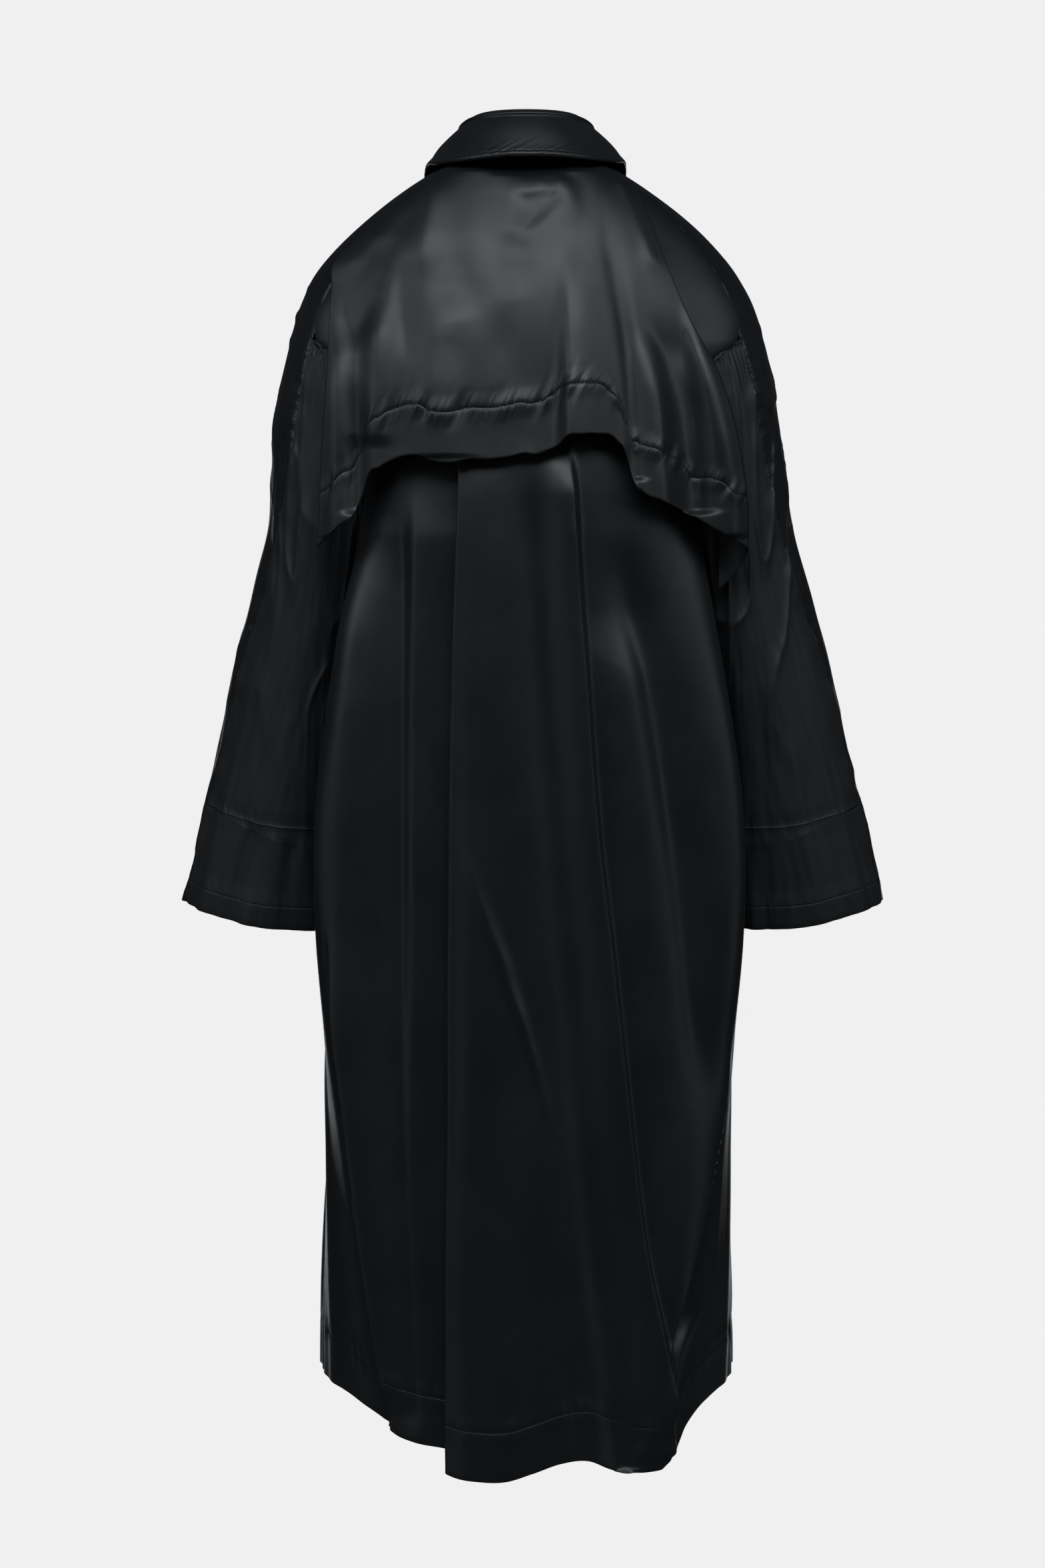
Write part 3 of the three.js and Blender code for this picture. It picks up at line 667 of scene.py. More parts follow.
# --- Shoulders and sleeves -------------------------------------------------------------------
# Each raglan piece runs from the neck over the shoulder and down the outside of the sleeve. The
# under sleeve is gathered into the armhole. Cuffs have a deep stitched hem and a second line of
# stitching near the edge. Angles round a sleeve: 0 outside, 90 degrees behind.
SHOULDER = 0.156  # drop of the shoulder point
shoulder = curve(BODY[:5] + [(SHOULDER, 0.118, 0.194, -0.064, 0.2160, 0.171, 0.069, 0.102)])
armhole = curve([  # x, y and drop from the raglan seam behind, down round the armpit, to the front
    (0.00, 0.194, -0.064, 0.156), (0.10, 0.176, -0.077, 0.168), (0.22, 0.154, -0.088, 0.195),
    (0.36, 0.144, -0.088, 0.250), (0.50, 0.146, -0.060, 0.318), (0.60, 0.146, 0.005, 0.336),
    (0.72, 0.146, 0.065, 0.310), (0.84, 0.158, 0.080, 0.235), (1.00, 0.171, 0.069, 0.156),
])
sleeve_outer = curve([
    (0.150, 0.2140), (0.180, 0.2215), (0.216, 0.2280), (0.270, 0.2350), (0.324, 0.2415),
    (0.378, 0.2545), (0.450, 0.2745), (0.522, 0.2905), (0.594, 0.3075), (0.664, 0.3230),
])
sleeve_inner = curve([(0, 0.146, 0.336), (0.3, 0.160, 0.436), (0.6, 0.165, 0.548), (1, 0.158, 0.683)])
sleeve_depth = curve([(0, 0.070, 0.0), (0.3, 0.072, 0.002), (0.6, 0.068, 0.006), (1, 0.066, 0.012)])
over_seam = lambda t: np.radians(mix(58, 17, smooth(t / 0.8)))
front_seam = lambda t: np.radians(mix(-62, -38, smooth(t / 0.8)))
REACH = {"right": 0.001, "left": -0.009}  # the left sleeve hangs a little closer


def sleeve_at(angle, t):
    """A sleeve's surface: t is 0 at the shoulder point and 1 at the cuff."""
    outer_drop = mix(0.150, 0.664, t)
    ox = sleeve_outer(outer_drop)
    ix, inner_drop = np.moveaxis(sleeve_inner(t), -1, 0)
    depth, y = np.moveaxis(sleeve_depth(t), -1, 0)
    c = (1 + np.cos(angle)) / 2
    droop = 0.014 * np.sin(angle) ** 2 * smooth((t - 0.5) / 0.5)
    drop = mix(inner_drop, outer_drop, c) + droop
    return np.stack([mix(ix, ox, c), y - depth * np.sin(angle), -drop], -1)


def sleeve_folds(angle, t, seed):
    """Fold heights for a sleeve: long soft folds that fan out to the cuff, creases along the
    overarm seam and small diagonal drags at the elbow."""
    a = angle / math.pi
    round_it = lambda scale: np.stack([np.cos(angle) * scale, np.sin(angle) * scale])
    cx, cy = round_it(1.0)
    long = 0.0042 * noise(cx * 2.2 + 7, cy * 2.2 + t * 1.3 + 7, seed)
    long = long + 0.0030 * noise(cx * 4.6 + 9, cy * 4.6 + t * 2.0 + 9, seed + 1)
    height = long * smooth((t - 0.05) / 0.4)
    behind = smooth((np.sin(angle) + 0.2) / 0.5)
    drag = wrinkles(cx * 3.2 + t * 2.4 + 9, t * 7 - cy * 2 + 9, seed + 5)
    drag = drag * smooth((t - 0.03) / 0.1) * smooth((0.75 - t) / 0.3) * mix(0.5, 1, behind)
    height = height + 0.0030 * drag
    crinkle = noise(t * 30, cx * 5 + cy * 3 + 9, seed + 7)
    near = np.exp(-(((a - over_seam(t) / math.pi) / 0.07) ** 2))
    height = height + 0.0016 * crinkle * near * smooth(t / 0.1)
    cuff = smooth((t - 0.80) / 0.04)
    height = height + 0.0022 * cuff * noise(cx * 7 + 9, cy * 7 + t * 6 + 9, seed + 3)
    return (height + 0.0006 * noise(cx * 14 + 20, cy * 14 + t * 18 + 20, seed + 8)) * smooth(t / 0.05)


def arm(angle, t, start, seed, reach):
    """From a point of the armhole, down and out into the sleeve's own round shape."""
    whole = sleeve_at(angle, t)
    slide = start + whole - sleeve_at(angle, 0 * t)
    points = mix(slide, whole, smooth(t / 0.35)[..., None])
    middle = (sleeve_at(0 * angle, t) + sleeve_at(0 * angle + math.pi, t)) / 2
    out = points - middle
    out = out / np.maximum(np.linalg.norm(out, axis=-1, keepdims=True), 1e-9)
    points = points + out * sleeve_folds(angle, t, seed)[..., None]
    points[..., 0] += reach * smooth(t / 0.7)
    return points


def raglan(seed, reach):
    """From the neck (v 0) over the shoulder point to the cuff (v 1)."""
    split = 0.25

    def surface(u, v):
        share = mix(0.2, 0.4, u)
        start = body_at(share, 0 * share + SHOULDER, shoulder)
        drop = mix(neck_drop(share) + 0.001, SHOULDER, np.minimum(v / split, 1))
        above = body_at(share, drop, shoulder)
        t = np.maximum(v - split, 0) / (1 - split)
        low = arm(mix(over_seam(t), front_seam(t), u), t, start, seed, reach)
        points = np.where((v < split)[..., None], above, low)
        edge = smooth(u / 0.2) * smooth((1 - u) / 0.15)
        creases = 0.0018 * wrinkles(v * 22 + u * 2, u * 3 + v * 4, seed + 11)
        height = creases * smooth((v - 0.10) / 0.1) * smooth((0.55 - v) / 0.2)
        height = height + 0.0016 * noise(u * 4, v * 14, seed + 12) * smooth(v / 0.1)
        return out_by(points, height * edge)

    return surface


def under_sleeve(seed, reach):
    """From the armhole seam (v 0) to the cuff (v 1), round the back, the armpit and the front."""

    def surface(u, v):
        angle = mix(over_seam(v), 2 * math.pi + front_seam(v), u)
        seam = armhole(np.clip(u, 0, 1)) * np.array([1, 1, -1])
        points = arm(angle, v, seam, seed, reach)
        gathers = 0.0016 * noise(u * 150, v * 16 + 2, seed + 9) * np.exp(-((v / 0.06) ** 2))
        return out_by(points, gathers * smooth(v / 0.012) * smooth((0.35 - u) / 0.1) * smooth(u / 0.01))

    return surface


CUFF_LINES = [("hem", 0.092, True), ("hem", 0.021, True)]
sleeves = []
for side, sign in SIDES:
    seed, reach = (40, REACH["right"]) if side == "right" else (70, REACH["left"])
    vs, v_off = turned(np.linspace(0, 1, 330), 0.092, 0.72)
    us = np.concatenate([[0, 0.004], np.linspace(0.012, 0.988, 90), [0.996, 1]])
    us_off = np.concatenate([[-0.0012, -0.0003], np.zeros(90), [-0.0003, -0.0012]])
    top = lay(f"raglan_{side}", flipped(raglan(seed, reach), sign), us, vs, SATIN, us_off, v_off,
              CUFF_LINES + [("left", 0.0012, False), ("right", 0.0012, False)])
    vs, v_off = turned(np.concatenate([[-0.006, 0.0], np.linspace(0.004, 1, 260)]), 0.092, 0.53)
    v_off[0] -= 0.0012
    us = np.linspace(-0.004, 1.004, 240)
    low = lay(f"under_sleeve_{side}", flipped(under_sleeve(seed, reach), sign), us, vs, SATIN,
              None, v_off, CUFF_LINES + [("top", 0.004, False)])
    on_sleeve = between()
    declare(top, "hung", [yoke], on_sleeve, f"shoulder_saddle_{side}", f"top_sleeve_{side}")
    declare(low, "hung", [top], on_sleeve, f"back_sleeve_{side}", f"cuff_facing_{side}")
    sleeves += [top, low]


# --- Cape flap -------------------------------------------------------------------------------
# A loose panel of the same satin, sewn in at the neck and down the left raglan seam. Below that it
# hangs free over the back, and its right edge turns back round the arm. Its hem is 45 mm deep.
def vertices(piece):
    out = np.empty(len(piece.data.vertices) * 3)
    piece.data.vertices.foreach_get("co", out)
    return out.reshape(-1, 3)


CELL = 0.005
points = np.concatenate([vertices(p) for p in (yoke, back_right, back_left, *sleeves)])
column = ((points[:, 0] + 0.40) / CELL).astype(int)
row = ((points[:, 2] + 0.60) / CELL).astype(int)
inside = (row >= 0) & (row < 130) & (column >= 0) & (column < 160)
rear = np.full((160, 130), 1.0)
np.minimum.at(rear, (column[inside], row[inside]), points[inside, 1])
for _ in range(2):
    rear = np.minimum.reduce([np.roll(rear, step, axis) for axis in (0, 1) for step in (-1, 0, 1)])
for _ in range(3):
    known = (rear < 0.5) * 1.0
    near = [(np.roll(rear * known, s, a), np.roll(known, s, a)) for a in (0, 1) for s in (-1, 0, 1)]
    rear = np.where(known > 0, sum(r for r, _ in near) / np.maximum(sum(k for _, k in near), 1), rear)
for _ in range(4):
    for axis in (0, 1):
        rear = (np.roll(rear, 1, axis) + 2 * rear + np.roll(rear, -1, axis)) / 4


def rearmost(x, z):
    """How far back the coat reaches at (x, z), under the flap."""
    cx, cz = np.clip((x + 0.40) / CELL - 0.5, 0, 158.9), np.clip((z + 0.60) / CELL - 0.5, 0, 128.9)
    i, j = np.floor(cx).astype(int), np.floor(cz).astype(int)
    fx, fz = cx - i, cz - j
    return mix(mix(rear[i, j], rear[i + 1, j], fx), mix(rear[i, j + 1], rear[i + 1, j + 1], fx), fz)


flap_left = curve([
    (-0.004, -0.070), (0.015, -0.094), (0.029, -0.114), (0.052, -0.137), (0.070, -0.157),
    (0.087, -0.173), (0.112, -0.175), (0.181, -0.178), (0.269, -0.183), (0.344, -0.186),
])
flap_right = curve([
    (-0.004, 0.070), (0.015, 0.095), (0.029, 0.103), (0.043, 0.108), (0.104, 0.130),
    (0.155, 0.152), (0.186, 0.169), (0.232, 0.184), (0.278, 0.193), (0.316, 0.197), (0.350, 0.197),
])
flap_depth = curve([  # at the middle, and at the left and right edges
    (-0.004, 0.070, 0.036, 0.040), (0.012, 0.087, 0.048, 0.052), (0.035, 0.100, 0.056, 0.062),
    (0.075, 0.114, 0.066, 0.080), (0.093, 0.119, 0.072, 0.088), (0.130, 0.127, 0.086, 0.098),
    (0.200, 0.137, 0.104, 0.110), (0.280, 0.145, 0.110, 0.113), (0.350, 0.151, 0.112, 0.112),
])
flap_hem = curve([
    (-0.186, 0.344), (-0.168, 0.328), (-0.153, 0.314), (-0.148, 0.301), (-0.1445, 0.287),
    (-0.132, 0.276), (-0.118, 0.269), (-0.100, 0.266), (-0.085, 0.271), (-0.068, 0.273),
    (-0.050, 0.270), (-0.030, 0.270), (-0.014, 0.268), (0.000, 0.265), (0.008, 0.266),
    (0.022, 0.262), (0.030, 0.258), (0.038, 0.251), (0.052, 0.249), (0.066, 0.248),
    (0.085, 0.254), (0.0925, 0.268), (0.0955, 0.287), (0.103, 0.298), (0.119, 0.306),
    (0.138, 0.314), (0.163, 0.328), (0.197, 0.346),
])
FLAP_HEM = 0.045
RETURN = 0.10  # share across at which the right edge turns back
CLEAR = 0.0035


FLAP_FOLDS = (  # as BODY_FOLDS
    (((-0.080, 0.000), (-0.092, -0.060), (-0.098, -0.120)), 0.0055, 0.022, 0.016, (0.1, 0.5)),
    (((-0.088, -0.004), (-0.128, -0.055), (-0.152, -0.110)), 0.0050, 0.012, 0.014, (0.1, 0.4)),
    (((-0.122, -0.060), (-0.147, -0.110), (-0.160, -0.178)), -0.0085, 0.014, 0.016, (0.3, 0.3)),
    (((-0.108, -0.070), (-0.110, -0.130), (-0.104, -0.190)), -0.0038, 0.008, 0.012, (0.4, 0.4)),
    (((-0.134, -0.120), (-0.134, -0.190), (-0.140, -0.260)), 0.0060, 0.014, 0.013, (0.3, 0.1)),
    (((-0.150, -0.190), (-0.150, -0.320)), -0.0070, 0.010, 0.009, (0.5, 0.05)),
    (((-0.168, -0.130), (-0.170, -0.340)), 0.0055, 0.012, 0.012, (0.3, 0.02)),
    (((-0.062, -0.060), (-0.064, -0.110), (-0.058, -0.150)), -0.0035, 0.018, 0.020, (0.4, 0.5)),
    (((-0.070, -0.110), (-0.080, -0.180), (-0.080, -0.270)), 0.0042, 0.020, 0.022, (0.4, 0.02)),
    # A ridge hooks over a hollow below the collar, then runs on down.
    (((-0.026, -0.021), (0.003, -0.025), (0.026, -0.015)), 0.0032, 0.010, 0.010, (0.5, 0.3)),
    (((0.018, -0.014), (0.036, -0.028), (0.037, -0.066)), 0.0050, 0.012, 0.012, (0.3, 0.6)),
    (((-0.018, -0.042), (0.004, -0.046), (0.018, -0.056)), -0.0026, 0.018, 0.018, (0.4, 0.4)),
    (((-0.012, -0.060), (-0.014, -0.090), (-0.006, -0.130)), -0.0026, 0.020, 0.020, (0.4, 0.4)),
    # The lit column: crisp on its left, soft on its right, and the crease beside it.
    (((0.040, -0.060), (0.040, -0.140), (0.040, -0.265)), 0.0150, 0.012, 0.030, (0.95, 0.01)),
    (((0.071, 0.000), (0.076, -0.060), (0.085, -0.130), (0.093, -0.205), (0.097, -0.290)),
     -0.0050, 0.0075, 0.0070, (0.15, 0.01)),
    (((0.082, -0.004), (0.100, -0.050), (0.116, -0.095), (0.126, -0.120)),
     0.0085, 0.010, 0.013, (0.1, 0.5)),
    (((0.108, -0.080), (0.125, -0.150), (0.142, -0.225), (0.150, -0.320)),
     -0.0130, 0.016, 0.014, (0.35, 0.02)),
    (((0.135, -0.110), (0.160, -0.190), (0.178, -0.270), (0.184, -0.340)),
     0.0075, 0.012, 0.012, (0.3, 0.02)),
    (((0.108, -0.150), (0.116, -0.230), (0.122, -0.320)), 0.0050, 0.009, 0.009, (0.4, 0.02)),
)


def flap_folds(x, z):
    """Heights of the cape flap's folds."""
    height = sum(fold(x, z, *each) for each in FLAP_FOLDS)
    height += 0.0014 * noise(x * 20, z * 9, 101) + 0.0007 * noise(x * 45, z * 24, 102)
    return height


def flap(u, v):
    s = u / (1 - RETURN)  # 0 to 1 across what is seen, then on round the arm
    seen = np.minimum(s, 1)
    back = np.maximum(s - 1, 0) / (RETURN / (1 - RETURN))
    hem = flap_hem(mix(-0.186, 0.197, seen)) + 0.034 * smooth(back)
    top = -0.004 + 0.016 * smooth(back)
    drop = mix(top, hem, v)
    left, right = flap_left(drop), flap_right(drop)
    x = mix(left, right, seen)
    middle, y_left, y_right = np.moveaxis(flap_depth(drop), -1, 0)
    off = np.where(x < 0, x / left, x / right)
    edge = np.where(x < 0, y_left, y_right)
    depth = middle - (middle - edge) * np.abs(off) ** 2.4
    depth = depth + flap_folds(x, -drop) * smooth(drop / 0.02)
    # It rests on whatever reaches further back than it would hang.
    rest = CLEAR - rearmost(x, -drop)
    depth = np.maximum(depth, rest) + 0.0016 * np.exp(-np.abs(depth - rest) / 0.003)
    turn = back * math.pi / 2
    free = smooth((drop - 0.03) / 0.25)
    x = x + free * (0.006 * np.sin(2 * turn) - 0.024 * smooth(back))
    y = -depth + free * 0.034 * np.sin(turn) + (1 - free) * 0.006 * back
    return np.stack([x, y, -drop], -1)


vs, v_off = turned(np.linspace(0, 1, 230), FLAP_HEM, 0.29)
edge_turn = np.linspace(math.pi, 0, 6)[:-1]
us = np.concatenate([np.linspace(0.03, 0, 5)[:-1], -0.002 * np.sin(edge_turn),
                     np.linspace(0, 1 - RETURN, 250), np.linspace(1 - RETURN, 1, 24)[1:]])
u_off = np.concatenate([np.full(4, -CLOTH), -CLOTH / 2 * (1 - np.cos(edge_turn)), 0 * us[9:]])
cape = lay("cape_flap_cloth", flap, us, vs, SATIN, u_off, v_off, [("hem", FLAP_HEM, True)], pucker=1.6)
on_flap = between()
declare(cape, "draped", [yoke, back_right, back_left], on_flap, "flap_yoke", "storm_flap", "flap_hem_facing")

# --- Collar ----------------------------------------------------------------------------------
# Two layers of satin with a stiffener between them, turned down over a stand.
leaf_fall = curve([(0, 0.047), (0.35, 0.044), (0.5, 0.034), (0.65, 0.046), (0.79, 0.058)])
LEAF_END = 0.783  # of half the way round
ROLL = 0.056, 0.062


def neck_height(a):
    c = np.cos(a)
    return np.where(c > 0, 0.010 * (1 - c * c), 0.010 - 0.085 * c * c)


def roll_height(a):
    return neck_height(a) + 0.008 + 0.043 * ((1 + np.cos(a)) / 2) ** 0.8


def collar(u, v):
    share = mix(-LEAF_END, LEAF_END, u)
    a = share * math.pi
    wide = 0.033 + 0.014 * smooth((np.abs(share) - 0.45) / 0.35)
    out = wide * (1 - (1 - np.minimum(v, 1)) ** 1.6) + 0.0035 * np.sin(np.minimum(v / 0.12, 1) * math.pi)
    out = out + 0.0016 * noise(share * 9 + 9, v * 2, 120) * v + 0.003 * np.exp(-(((v - 0.95) / 0.1) ** 2))
    z = roll_height(a) - leaf_fall(np.abs(share)) * v + 0.002 * v * noise(share * 5 + 9, v * 0 + 2, 121)
    return np.stack([(ROLL[0] + out) * np.sin(a), -(ROLL[1] + out) * np.cos(a), z], -1)


turn = np.linspace(0, math.pi, 9)[1:]
rows = np.concatenate([np.linspace(0, 1, 44), 1 + 0.02 * np.sin(turn), np.linspace(1, 0, 30)[1:]])
rows_off = np.concatenate([np.zeros(44), -0.0016 * (1 - np.cos(turn)), np.linspace(-0.0032, -0.0026, 29)])
us = np.linspace(0, 1, 260)
leaf = lay("collar_leaf_cloth", collar, us, rows, SATIN, None, rows_off, [("hem", 0.006, True)], pucker=0.3)
on_collar = between()
declare(leaf, "folded", [], on_collar, "collar_leaf_back", "undercollar_back", "collar_leaf_right",
        "collar_leaf_left", "collar_wing_right", "collar_wing_left")


TUCK = 0.003  # the stand's foot reaches this far below the neck seam


def stand_surface(u, v):
    a = mix(-LEAF_END, LEAF_END, u) * math.pi
    low = neck_height(a) - TUCK * (1 + np.maximum(np.cos(a), 0))
    foot = np.stack([0.070 * np.sin(a), -0.064 * np.cos(a), low], -1)
    half_x, half_y = (half - 0.0004 for half in ROLL)
    head = np.stack([half_x * np.sin(a), -half_y * np.cos(a), roll_height(a) + 0.0008], -1)
    return mix(foot, head, (1 - v)[..., None])


stand = lay("collar_stand_cloth", stand_surface, us, np.linspace(0, 1, 24), LINING,
            lines=[("hem", 0.003, True)])
# Its top edge sits just inside the leaf's roll, and its foot is stitched at the neck.
on_stand = between()
declare(stand, "folded", [], on_stand, "collar_stand", slot="facing_satin")


# --- Neck facing, label and hanger loop ------------------------------------------------------
# A shaped facing finishes the inside of the back neck. A blank woven label is sewn to it, and a
# strap of tape across it hangs the coat on a hook.
def neck_facing(u, v):
    share = mix(-0.17, 0.17, u)
    low = mix(0.036, 0.066, np.maximum(np.cos(share / 0.17 * math.pi / 2), 0) ** 0.8)
    drop = mix(neck_drop(share) + 0.001, low, v)
    return out_by(body_at(share, drop), -0.0062)


rows, rows_off = turned(np.linspace(0, 1, 40), 0.006, 0.06)
facing = lay("back_neck_facing_cloth", neck_facing, np.linspace(0, 1, 110), rows, LINING, None, rows_off,
             [("hem", 0.003, True)])
declare(facing, "hung", [yoke], on_coat, "back_neck_facing", slot="facing_satin")

WARP, WEFT, WEAVE_DEPTH = 0.0005, 0.0007, 0.00006
n = Nodes("woven_tape")
place = n.add("ShaderNodeTexCoord")
split = n.add("ShaderNodeSeparateXYZ", {"Vector": place.outputs["UV"]})
warp = n.math("SINE", n.math("MULTIPLY", split.outputs["X"], 2 * math.pi / WARP))
weft = n.math("SINE", n.math("MULTIPLY", split.outputs["Y"], 2 * math.pi / WEFT))
weave = n.math("MULTIPLY", warp, weft)
bump = n.bump(n.math("MULTIPLY", weave, WEAVE_DEPTH))
fuzz = n.noise(place.outputs["Object"], 300.0, 3)
TAPE = n.finish(Base_Color=n.colour(n.math("MULTIPLY_ADD", weave, 0.25, fuzz), (0.010, 0.010, 0.011, 1),
                                    (0.030, 0.030, 0.033, 1)),
                Roughness=n.ramp(fuzz, 0.3, 0.7, 0.6, 0.78), Normal=bump, Sheen_Weight=0.15)


def label_surface(u, v):
    low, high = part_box("neck_label")
    x, drop = mix(low[0], high[0], u), -mix(high[2], low[2], v)
    sag = 0.0006 * np.cos((u - 0.5) * math.pi)
    wall = body_at(x * 0.86, drop)[..., 1] + 0.0080 + sag
    return np.stack([x, wall, -drop], -1)


us, us_off = turned(np.linspace(0, 1, 60), 0.006, 0.067)
label = lay("neck_label_cloth", lambda u, v: label_surface(1 - u, v), us, np.linspace(0, 1, 24), TAPE,
            us_off, None, [("left", 0.0015, True), ("right", 0.0015, True)], pucker=0.4)
declare(label, "laid", [facing], on_coat, "neck_label", slot="tape")
LOOP_LOW, LOOP_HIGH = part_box("hanger_loop")


def loop_surface(u, v):
    """Round the strap (u) and along it (v)."""
    s = mix(-1, 1, v)
    ends = 1 - 0.35 * np.abs(s) ** 8
    width, thick = 0.0030, 0.0008 * ends
    a = u * 2 * math.pi
    square = lambda c: np.sign(c) * np.abs(c) ** 0.6
    y = LOOP_LOW[1] + 0.0010 + (LOOP_HIGH[1] - LOOP_LOW[1] - 0.0026) * (1 - s * s) ** 0.6
    z = (LOOP_LOW[2] + LOOP_HIGH[2]) / 2 + 0.0006 * np.sin(s * 2.2)
    return np.stack([s * LOOP_HIGH[0], y + thick * square(np.cos(a)), z + width * square(np.sin(a))], -1)


loop = lay("hanger_loop_tape", loop_surface, np.linspace(0, 1, 25)[:-1], np.linspace(0.001, 0.999, 60), TAPE,
           ring=True)
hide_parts("hanger_loop")
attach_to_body(loop, "coat_body")

# --- Pockets ---------------------------------------------------------------------------------
# A slanted opening in each front with a folded welt stitched round it, and a flat bag of the dull
# satin that hangs inside.
WELT_TOP, WELT_LENGTH = 0.450, 0.140
for side, sign in SIDES:
    def welt(u, v):
        drop = mix(WELT_TOP, WELT_TOP + WELT_LENGTH, v)
        share = mix(0.402, 0.419, u)
        crown = 0.0024 + 0.0010 * np.sin(u * math.pi)
        return out_by(front_points(share, drop, 0.0), crown)

    us, us_off = turned(np.linspace(0, 1, 26), 0.006, 0.022)
    rows, rows_off = turned(np.linspace(0.0, 1, 90), 0.004, WELT_LENGTH)
    if sign < 0:
        us, us_off = 1 - us[::-1], us_off[::-1]
    piece = lay(f"pocket_welt_{side}_cloth", flipped(welt, sign), us, rows, SATIN, us_off, rows_off,
                [("left", 0.002, True), ("right", 0.002, True), ("top", 0.002, True), ("hem", 0.002, True)],
                pucker=0.4)
    declare(piece, "folded", [front_pieces[side]], on_coat, f"pocket_welt_{side}")
    low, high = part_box(f"pocket_bag_{side}")

    def bag(u, v):
        """Round the bag (u) from its front layer to its back one, and down it (v)."""
        a = u * 2 * math.pi
        across = np.sign(np.cos(a)) * np.abs(np.cos(a)) ** 0.7
        wide = 0.5 * (1 - 0.55 * smooth((v - 0.72) / 0.28) ** 2)
        share = 0.5 + wide * across
        x = mix(low[0], high[0], share if sign > 0 else 1 - share)
        wall = mix(high[1], low[1], share)
        thick = 0.0018 * (1 - smooth((v - 0.9) / 0.1)) + 0.0002
        y = wall - 0.0035 + thick * np.sin(a) * (1 + 0.4 * noise(x * 60, v * 7, 61))
        drop = mix(-high[2], -low[2], v) - 0.004 * (1 - np.cos(share * 2 * math.pi)) * v * 0.5
        return np.stack([x, y - 0.004, -drop], -1)

    piece = lay(f"pocket_bag_{side}_cloth", bag, np.linspace(0, 1, 49)[:-1], np.linspace(0, 1, 60), LINING,
                ring=True)
    declare(piece, "hung", [front_pieces[side]], on_coat, f"pocket_bag_{side}", slot="facing_satin")

# --- Press studs -----------------------------------------------------------------------------
# Five pressed brass snaps with a dark plated finish: a domed cap on the outer front, a ring socket
# on its facing and a post on the inner front.
SCRATCH_DEPTH = 0.00002
n = Nodes("dark_plated_metal")
at = n.add("ShaderNodeTexCoord").outputs["Object"]
brushed, spots = n.noise(at, 900.0, 3, (1, 1, 6)), n.noise(at, 160.0, 4)
bump = n.bump(n.math("MULTIPLY", brushed, SCRATCH_DEPTH))
dark, worn = (0.050, 0.050, 0.054, 1), (0.095, 0.092, 0.090, 1)
METAL = n.finish(Base_Color=n.colour(n.ramp(spots, 0.35, 0.7), dark, worn), Metallic=1.0,
                 Roughness=n.ramp(spots, 0.3, 0.75, 0.22, 0.40), Normal=bump)


def lathed(name, profile, segments=32):
    """A turned shape from (radius, height) points, about +Z."""
    rings = [[(r * math.cos(a), r * math.sin(a), h) for a in np.linspace(0, 2 * math.pi, segments + 1)[:-1]]
             for r, h in profile[1:-1]]
    points = [(0, 0, profile[0][1])] + [p for ring in rings for p in ring] + [(0, 0, profile[-1][1])]
    at = lambda ring, k: 1 + ring * segments + k % segments
    faces = [(0, at(0, k + 1), at(0, k)) for k in range(segments)]
    faces += [(at(r, k), at(r, k + 1), at(r + 1, k + 1), at(r + 1, k))
              for r in range(len(rings) - 1) for k in range(segments)]
    last = len(points) - 1
    faces += [(at(len(rings) - 1, k), at(len(rings) - 1, k + 1), last) for k in range(segments)]
    mesh = bpy.data.meshes.new(name)
    mesh.from_pydata(points, [], faces)
    shape = bpy.data.objects.new(name, mesh)
    bpy.context.scene.collection.objects.link(shape)
    return shape


def snap_tree(shape):
    """Puts one shape on every point, all turned by the same tilt about X."""
    tilt = 0.04 - math.pi / 2
    tree, inputs = new_tree("snaps", [("Stud", "Object", shape), ("Tilt", "Float", tilt)])
    new, link = tree.nodes.new, tree.links.new
    given, info = new("NodeGroupInput"), new("GeometryNodeObjectInfo")
    put, turn = new("GeometryNodeInstanceOnPoints"), new("ShaderNodeCombineXYZ")
    link(given.outputs["Stud"], info.inputs["Object"])
    link(given.outputs["Geometry"], put.inputs["Points"])
    link(info.outputs["Geometry"], put.inputs["Instance"])
    link(given.outputs["Tilt"], turn.inputs["X"])
    link(turn.outputs["Vector"], put.inputs["Rotation"])
    end_tree(tree, put, METAL)
    return tree, inputs


SNAPS = (  # node, body, and profile as (radius, height)
    ("stud_cap", "front_outer", [
        (0, 0), (0.0064, 0), (0.0071, 0.0002), (0.0075, 0.0006), (0.0074, 0.0010), (0.0068, 0.0013),
        (0.0062, 0.0012), (0.0058, 0.0013), (0.0040, 0.0017), (0.0018, 0.00185), (0, 0.0019)]),
    ("stud_socket", "front_outer", [
        (0, 0.0005), (0.0016, 0.0005), (0.0022, 0.0003), (0.0026, 0.0), (0.0046, 0), (0.0053, 0.0003),
        (0.0054, 0.0008), (0.0050, 0.0011), (0, 0.0011)]),
    ("stud_post", "front_inner", [
        (0, 0), (0.0048, 0), (0.0052, 0.0002), (0.0051, 0.0005), (0.0040, 0.0006), (0.0018, 0.0006),
        (0.0016, 0.0009), (0.0019, 0.0013), (0.0015, 0.0015), (0, 0.0015)]),
)
for name, body_name, profile in SNAPS:
    shape = lathed(name + "_shape", profile)
    studs = [f"{name}_{k}" for k in range(1, 6)]
    half = np.array([0, profile[-1][1] / 2, 0])
    places = [tuple(sum(map(np.array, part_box(stud))) / 2 - half) for stud in studs]
    snaps = grown(name + "s", places, [], *snap_tree(shape))
    bpy.data.objects.remove(shape)
    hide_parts(*studs)
    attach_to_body(snaps, body_name)

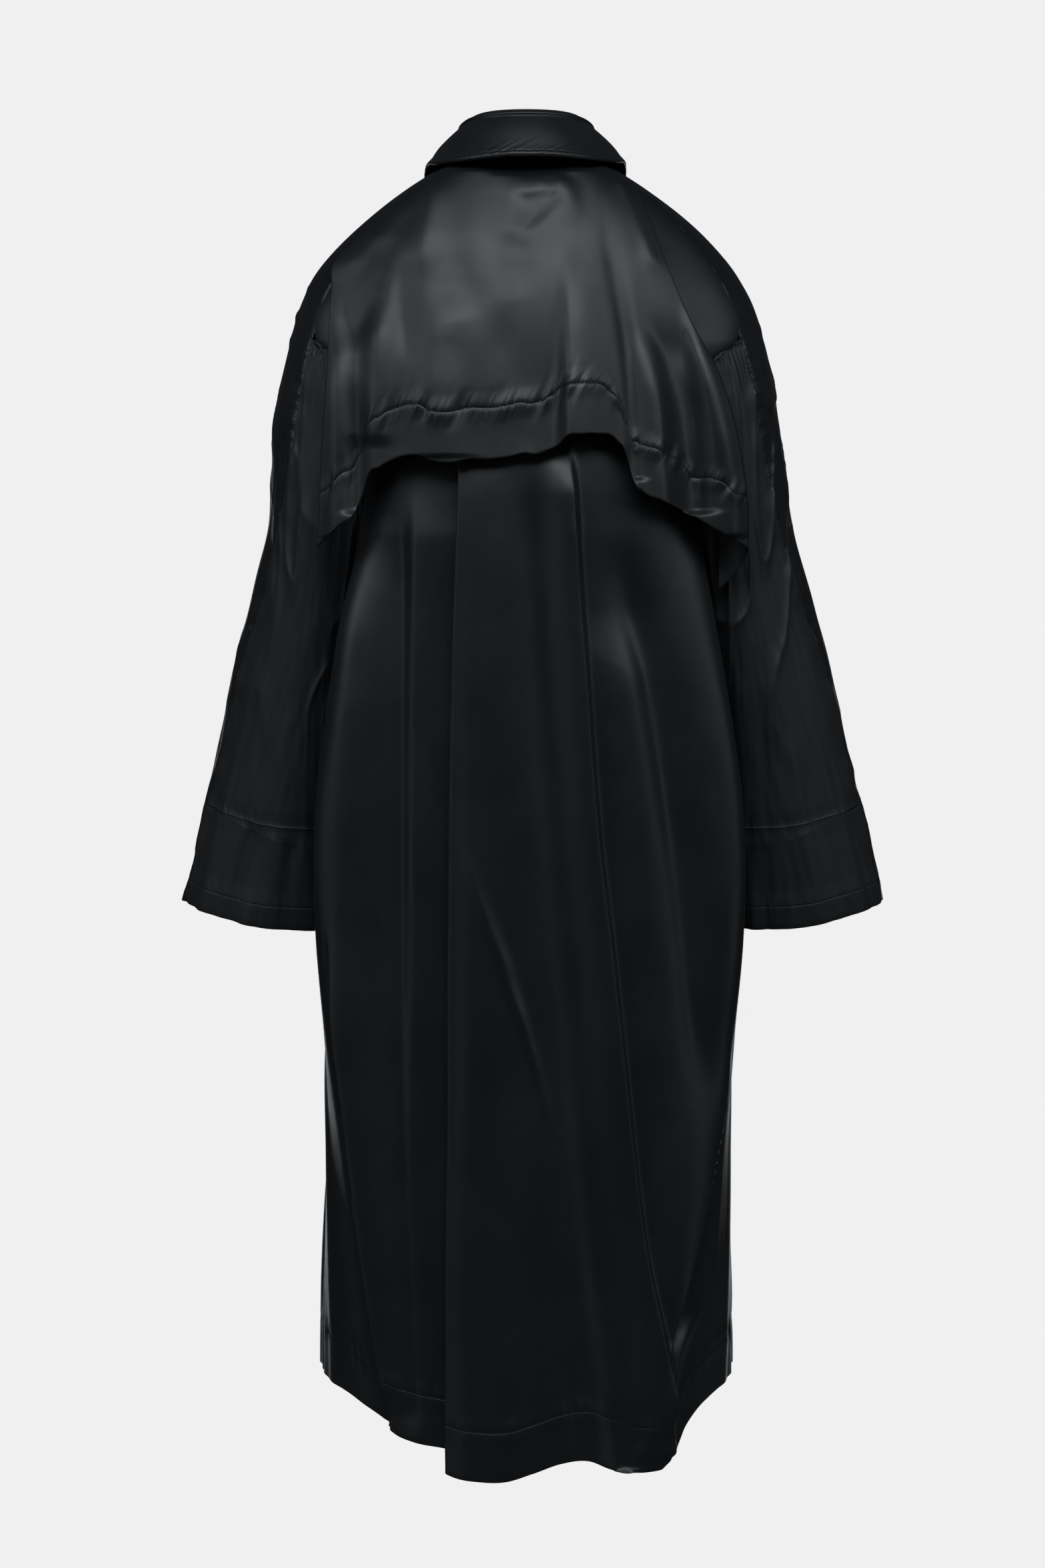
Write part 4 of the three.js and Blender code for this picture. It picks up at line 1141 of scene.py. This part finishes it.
# --- Studio ----------------------------------------------------------------------------------
# Lit from high behind the camera, with weak light from both sides, on a pale ground.
scene = bpy.context.scene
camera = bpy.data.objects.new("camera", bpy.data.cameras.new("camera"))
scene.collection.objects.link(camera)
camera.location = (-0.0036, -3.6, -0.5575)  # level, at the middle of the coat
camera.rotation_euler = (math.pi / 2, 0, 0)
camera.data.lens = 90
camera.data.sensor_fit = "VERTICAL"
camera.data.sensor_height = 36
camera.data.clip_end = 50
scene.camera = camera
scene.view_settings.view_transform = "Standard"

PALE = 0.871
world = bpy.data.worlds.new("studio")
scene.world = world
world.use_nodes = True
tree = world.node_tree
paths = tree.nodes.new("ShaderNodeLightPath")
choose = tree.nodes.new("ShaderNodeMix")
choose.data_type = "RGBA"
choose.inputs["A"].default_value = (0.022, 0.024, 0.027, 1)
choose.inputs["B"].default_value = (PALE, PALE, PALE, 1)
tree.links.new(paths.outputs["Is Camera Ray"], choose.inputs["Factor"])
tree.links.new(choose.outputs[2], tree.nodes["Background"].inputs["Color"])

COOL = (0.90, 0.96, 1.0)
SOFTBOXES = (  # name, place, aim, width and height, watts
    ("high", (0.15, -3.0, 2.25), (0, -0.1, -0.2), (4.2, 1.3), 80),
    ("top", (0, -0.9, 1.6), (0, 0, 0), (1.8, 1.2), 6),
    ("left", (-3.0, -1.6, -0.4), (0, 0, -0.6), (0.8, 2.4), 4),
    ("right", (3.0, -1.6, -0.4), (0, 0, -0.6), (0.8, 2.4), 4),
    ("rear_left", (-3.0, -2.0, 1.5), (0, 0, -0.2), (1.6, 1.2), 18),
    ("rear_right", (3.0, -2.0, 1.5), (0, 0, -0.2), (1.6, 1.2), 13),
    ("front_side", (0, 3.0, -0.8), (0, 0, -0.5), (2.6, 1.6), 30),
)
for name, place, aim, size, power in SOFTBOXES:
    lamp = bpy.data.lights.new(name, "AREA")
    lamp.shape, lamp.energy, lamp.color = "RECTANGLE", power, COOL
    lamp.size, lamp.size_y = size
    light = bpy.data.objects.new(name, lamp)
    light.location = place
    light.rotation_euler = (Vector(aim) - Vector(place)).to_track_quat("-Z", "Y").to_euler()
    scene.collection.objects.link(light)

bpy.ops.mesh.primitive_plane_add(size=40, location=(0, 0, -1.62))
floor = bpy.context.object
floor.name = "floor"
n = Nodes("pale_floor")
n.finish(Base_Color=(0.15, 0.15, 0.15, 1), Roughness=0.9)
glow = n.add("ShaderNodeEmission", {"Color": (PALE, PALE, PALE, 1), "Strength": 1.0})
seen = n.add("ShaderNodeLightPath")
both = n.add("ShaderNodeMixShader", {"Fac": seen.outputs["Is Camera Ray"]})
n.tree.links.new(n.shader.outputs[0], both.inputs[1])
n.tree.links.new(glow.outputs[0], both.inputs[2])
n.tree.links.new(both.outputs[0], n.tree.nodes["Material Output"].inputs["Surface"])
floor.data.materials.append(n.material)
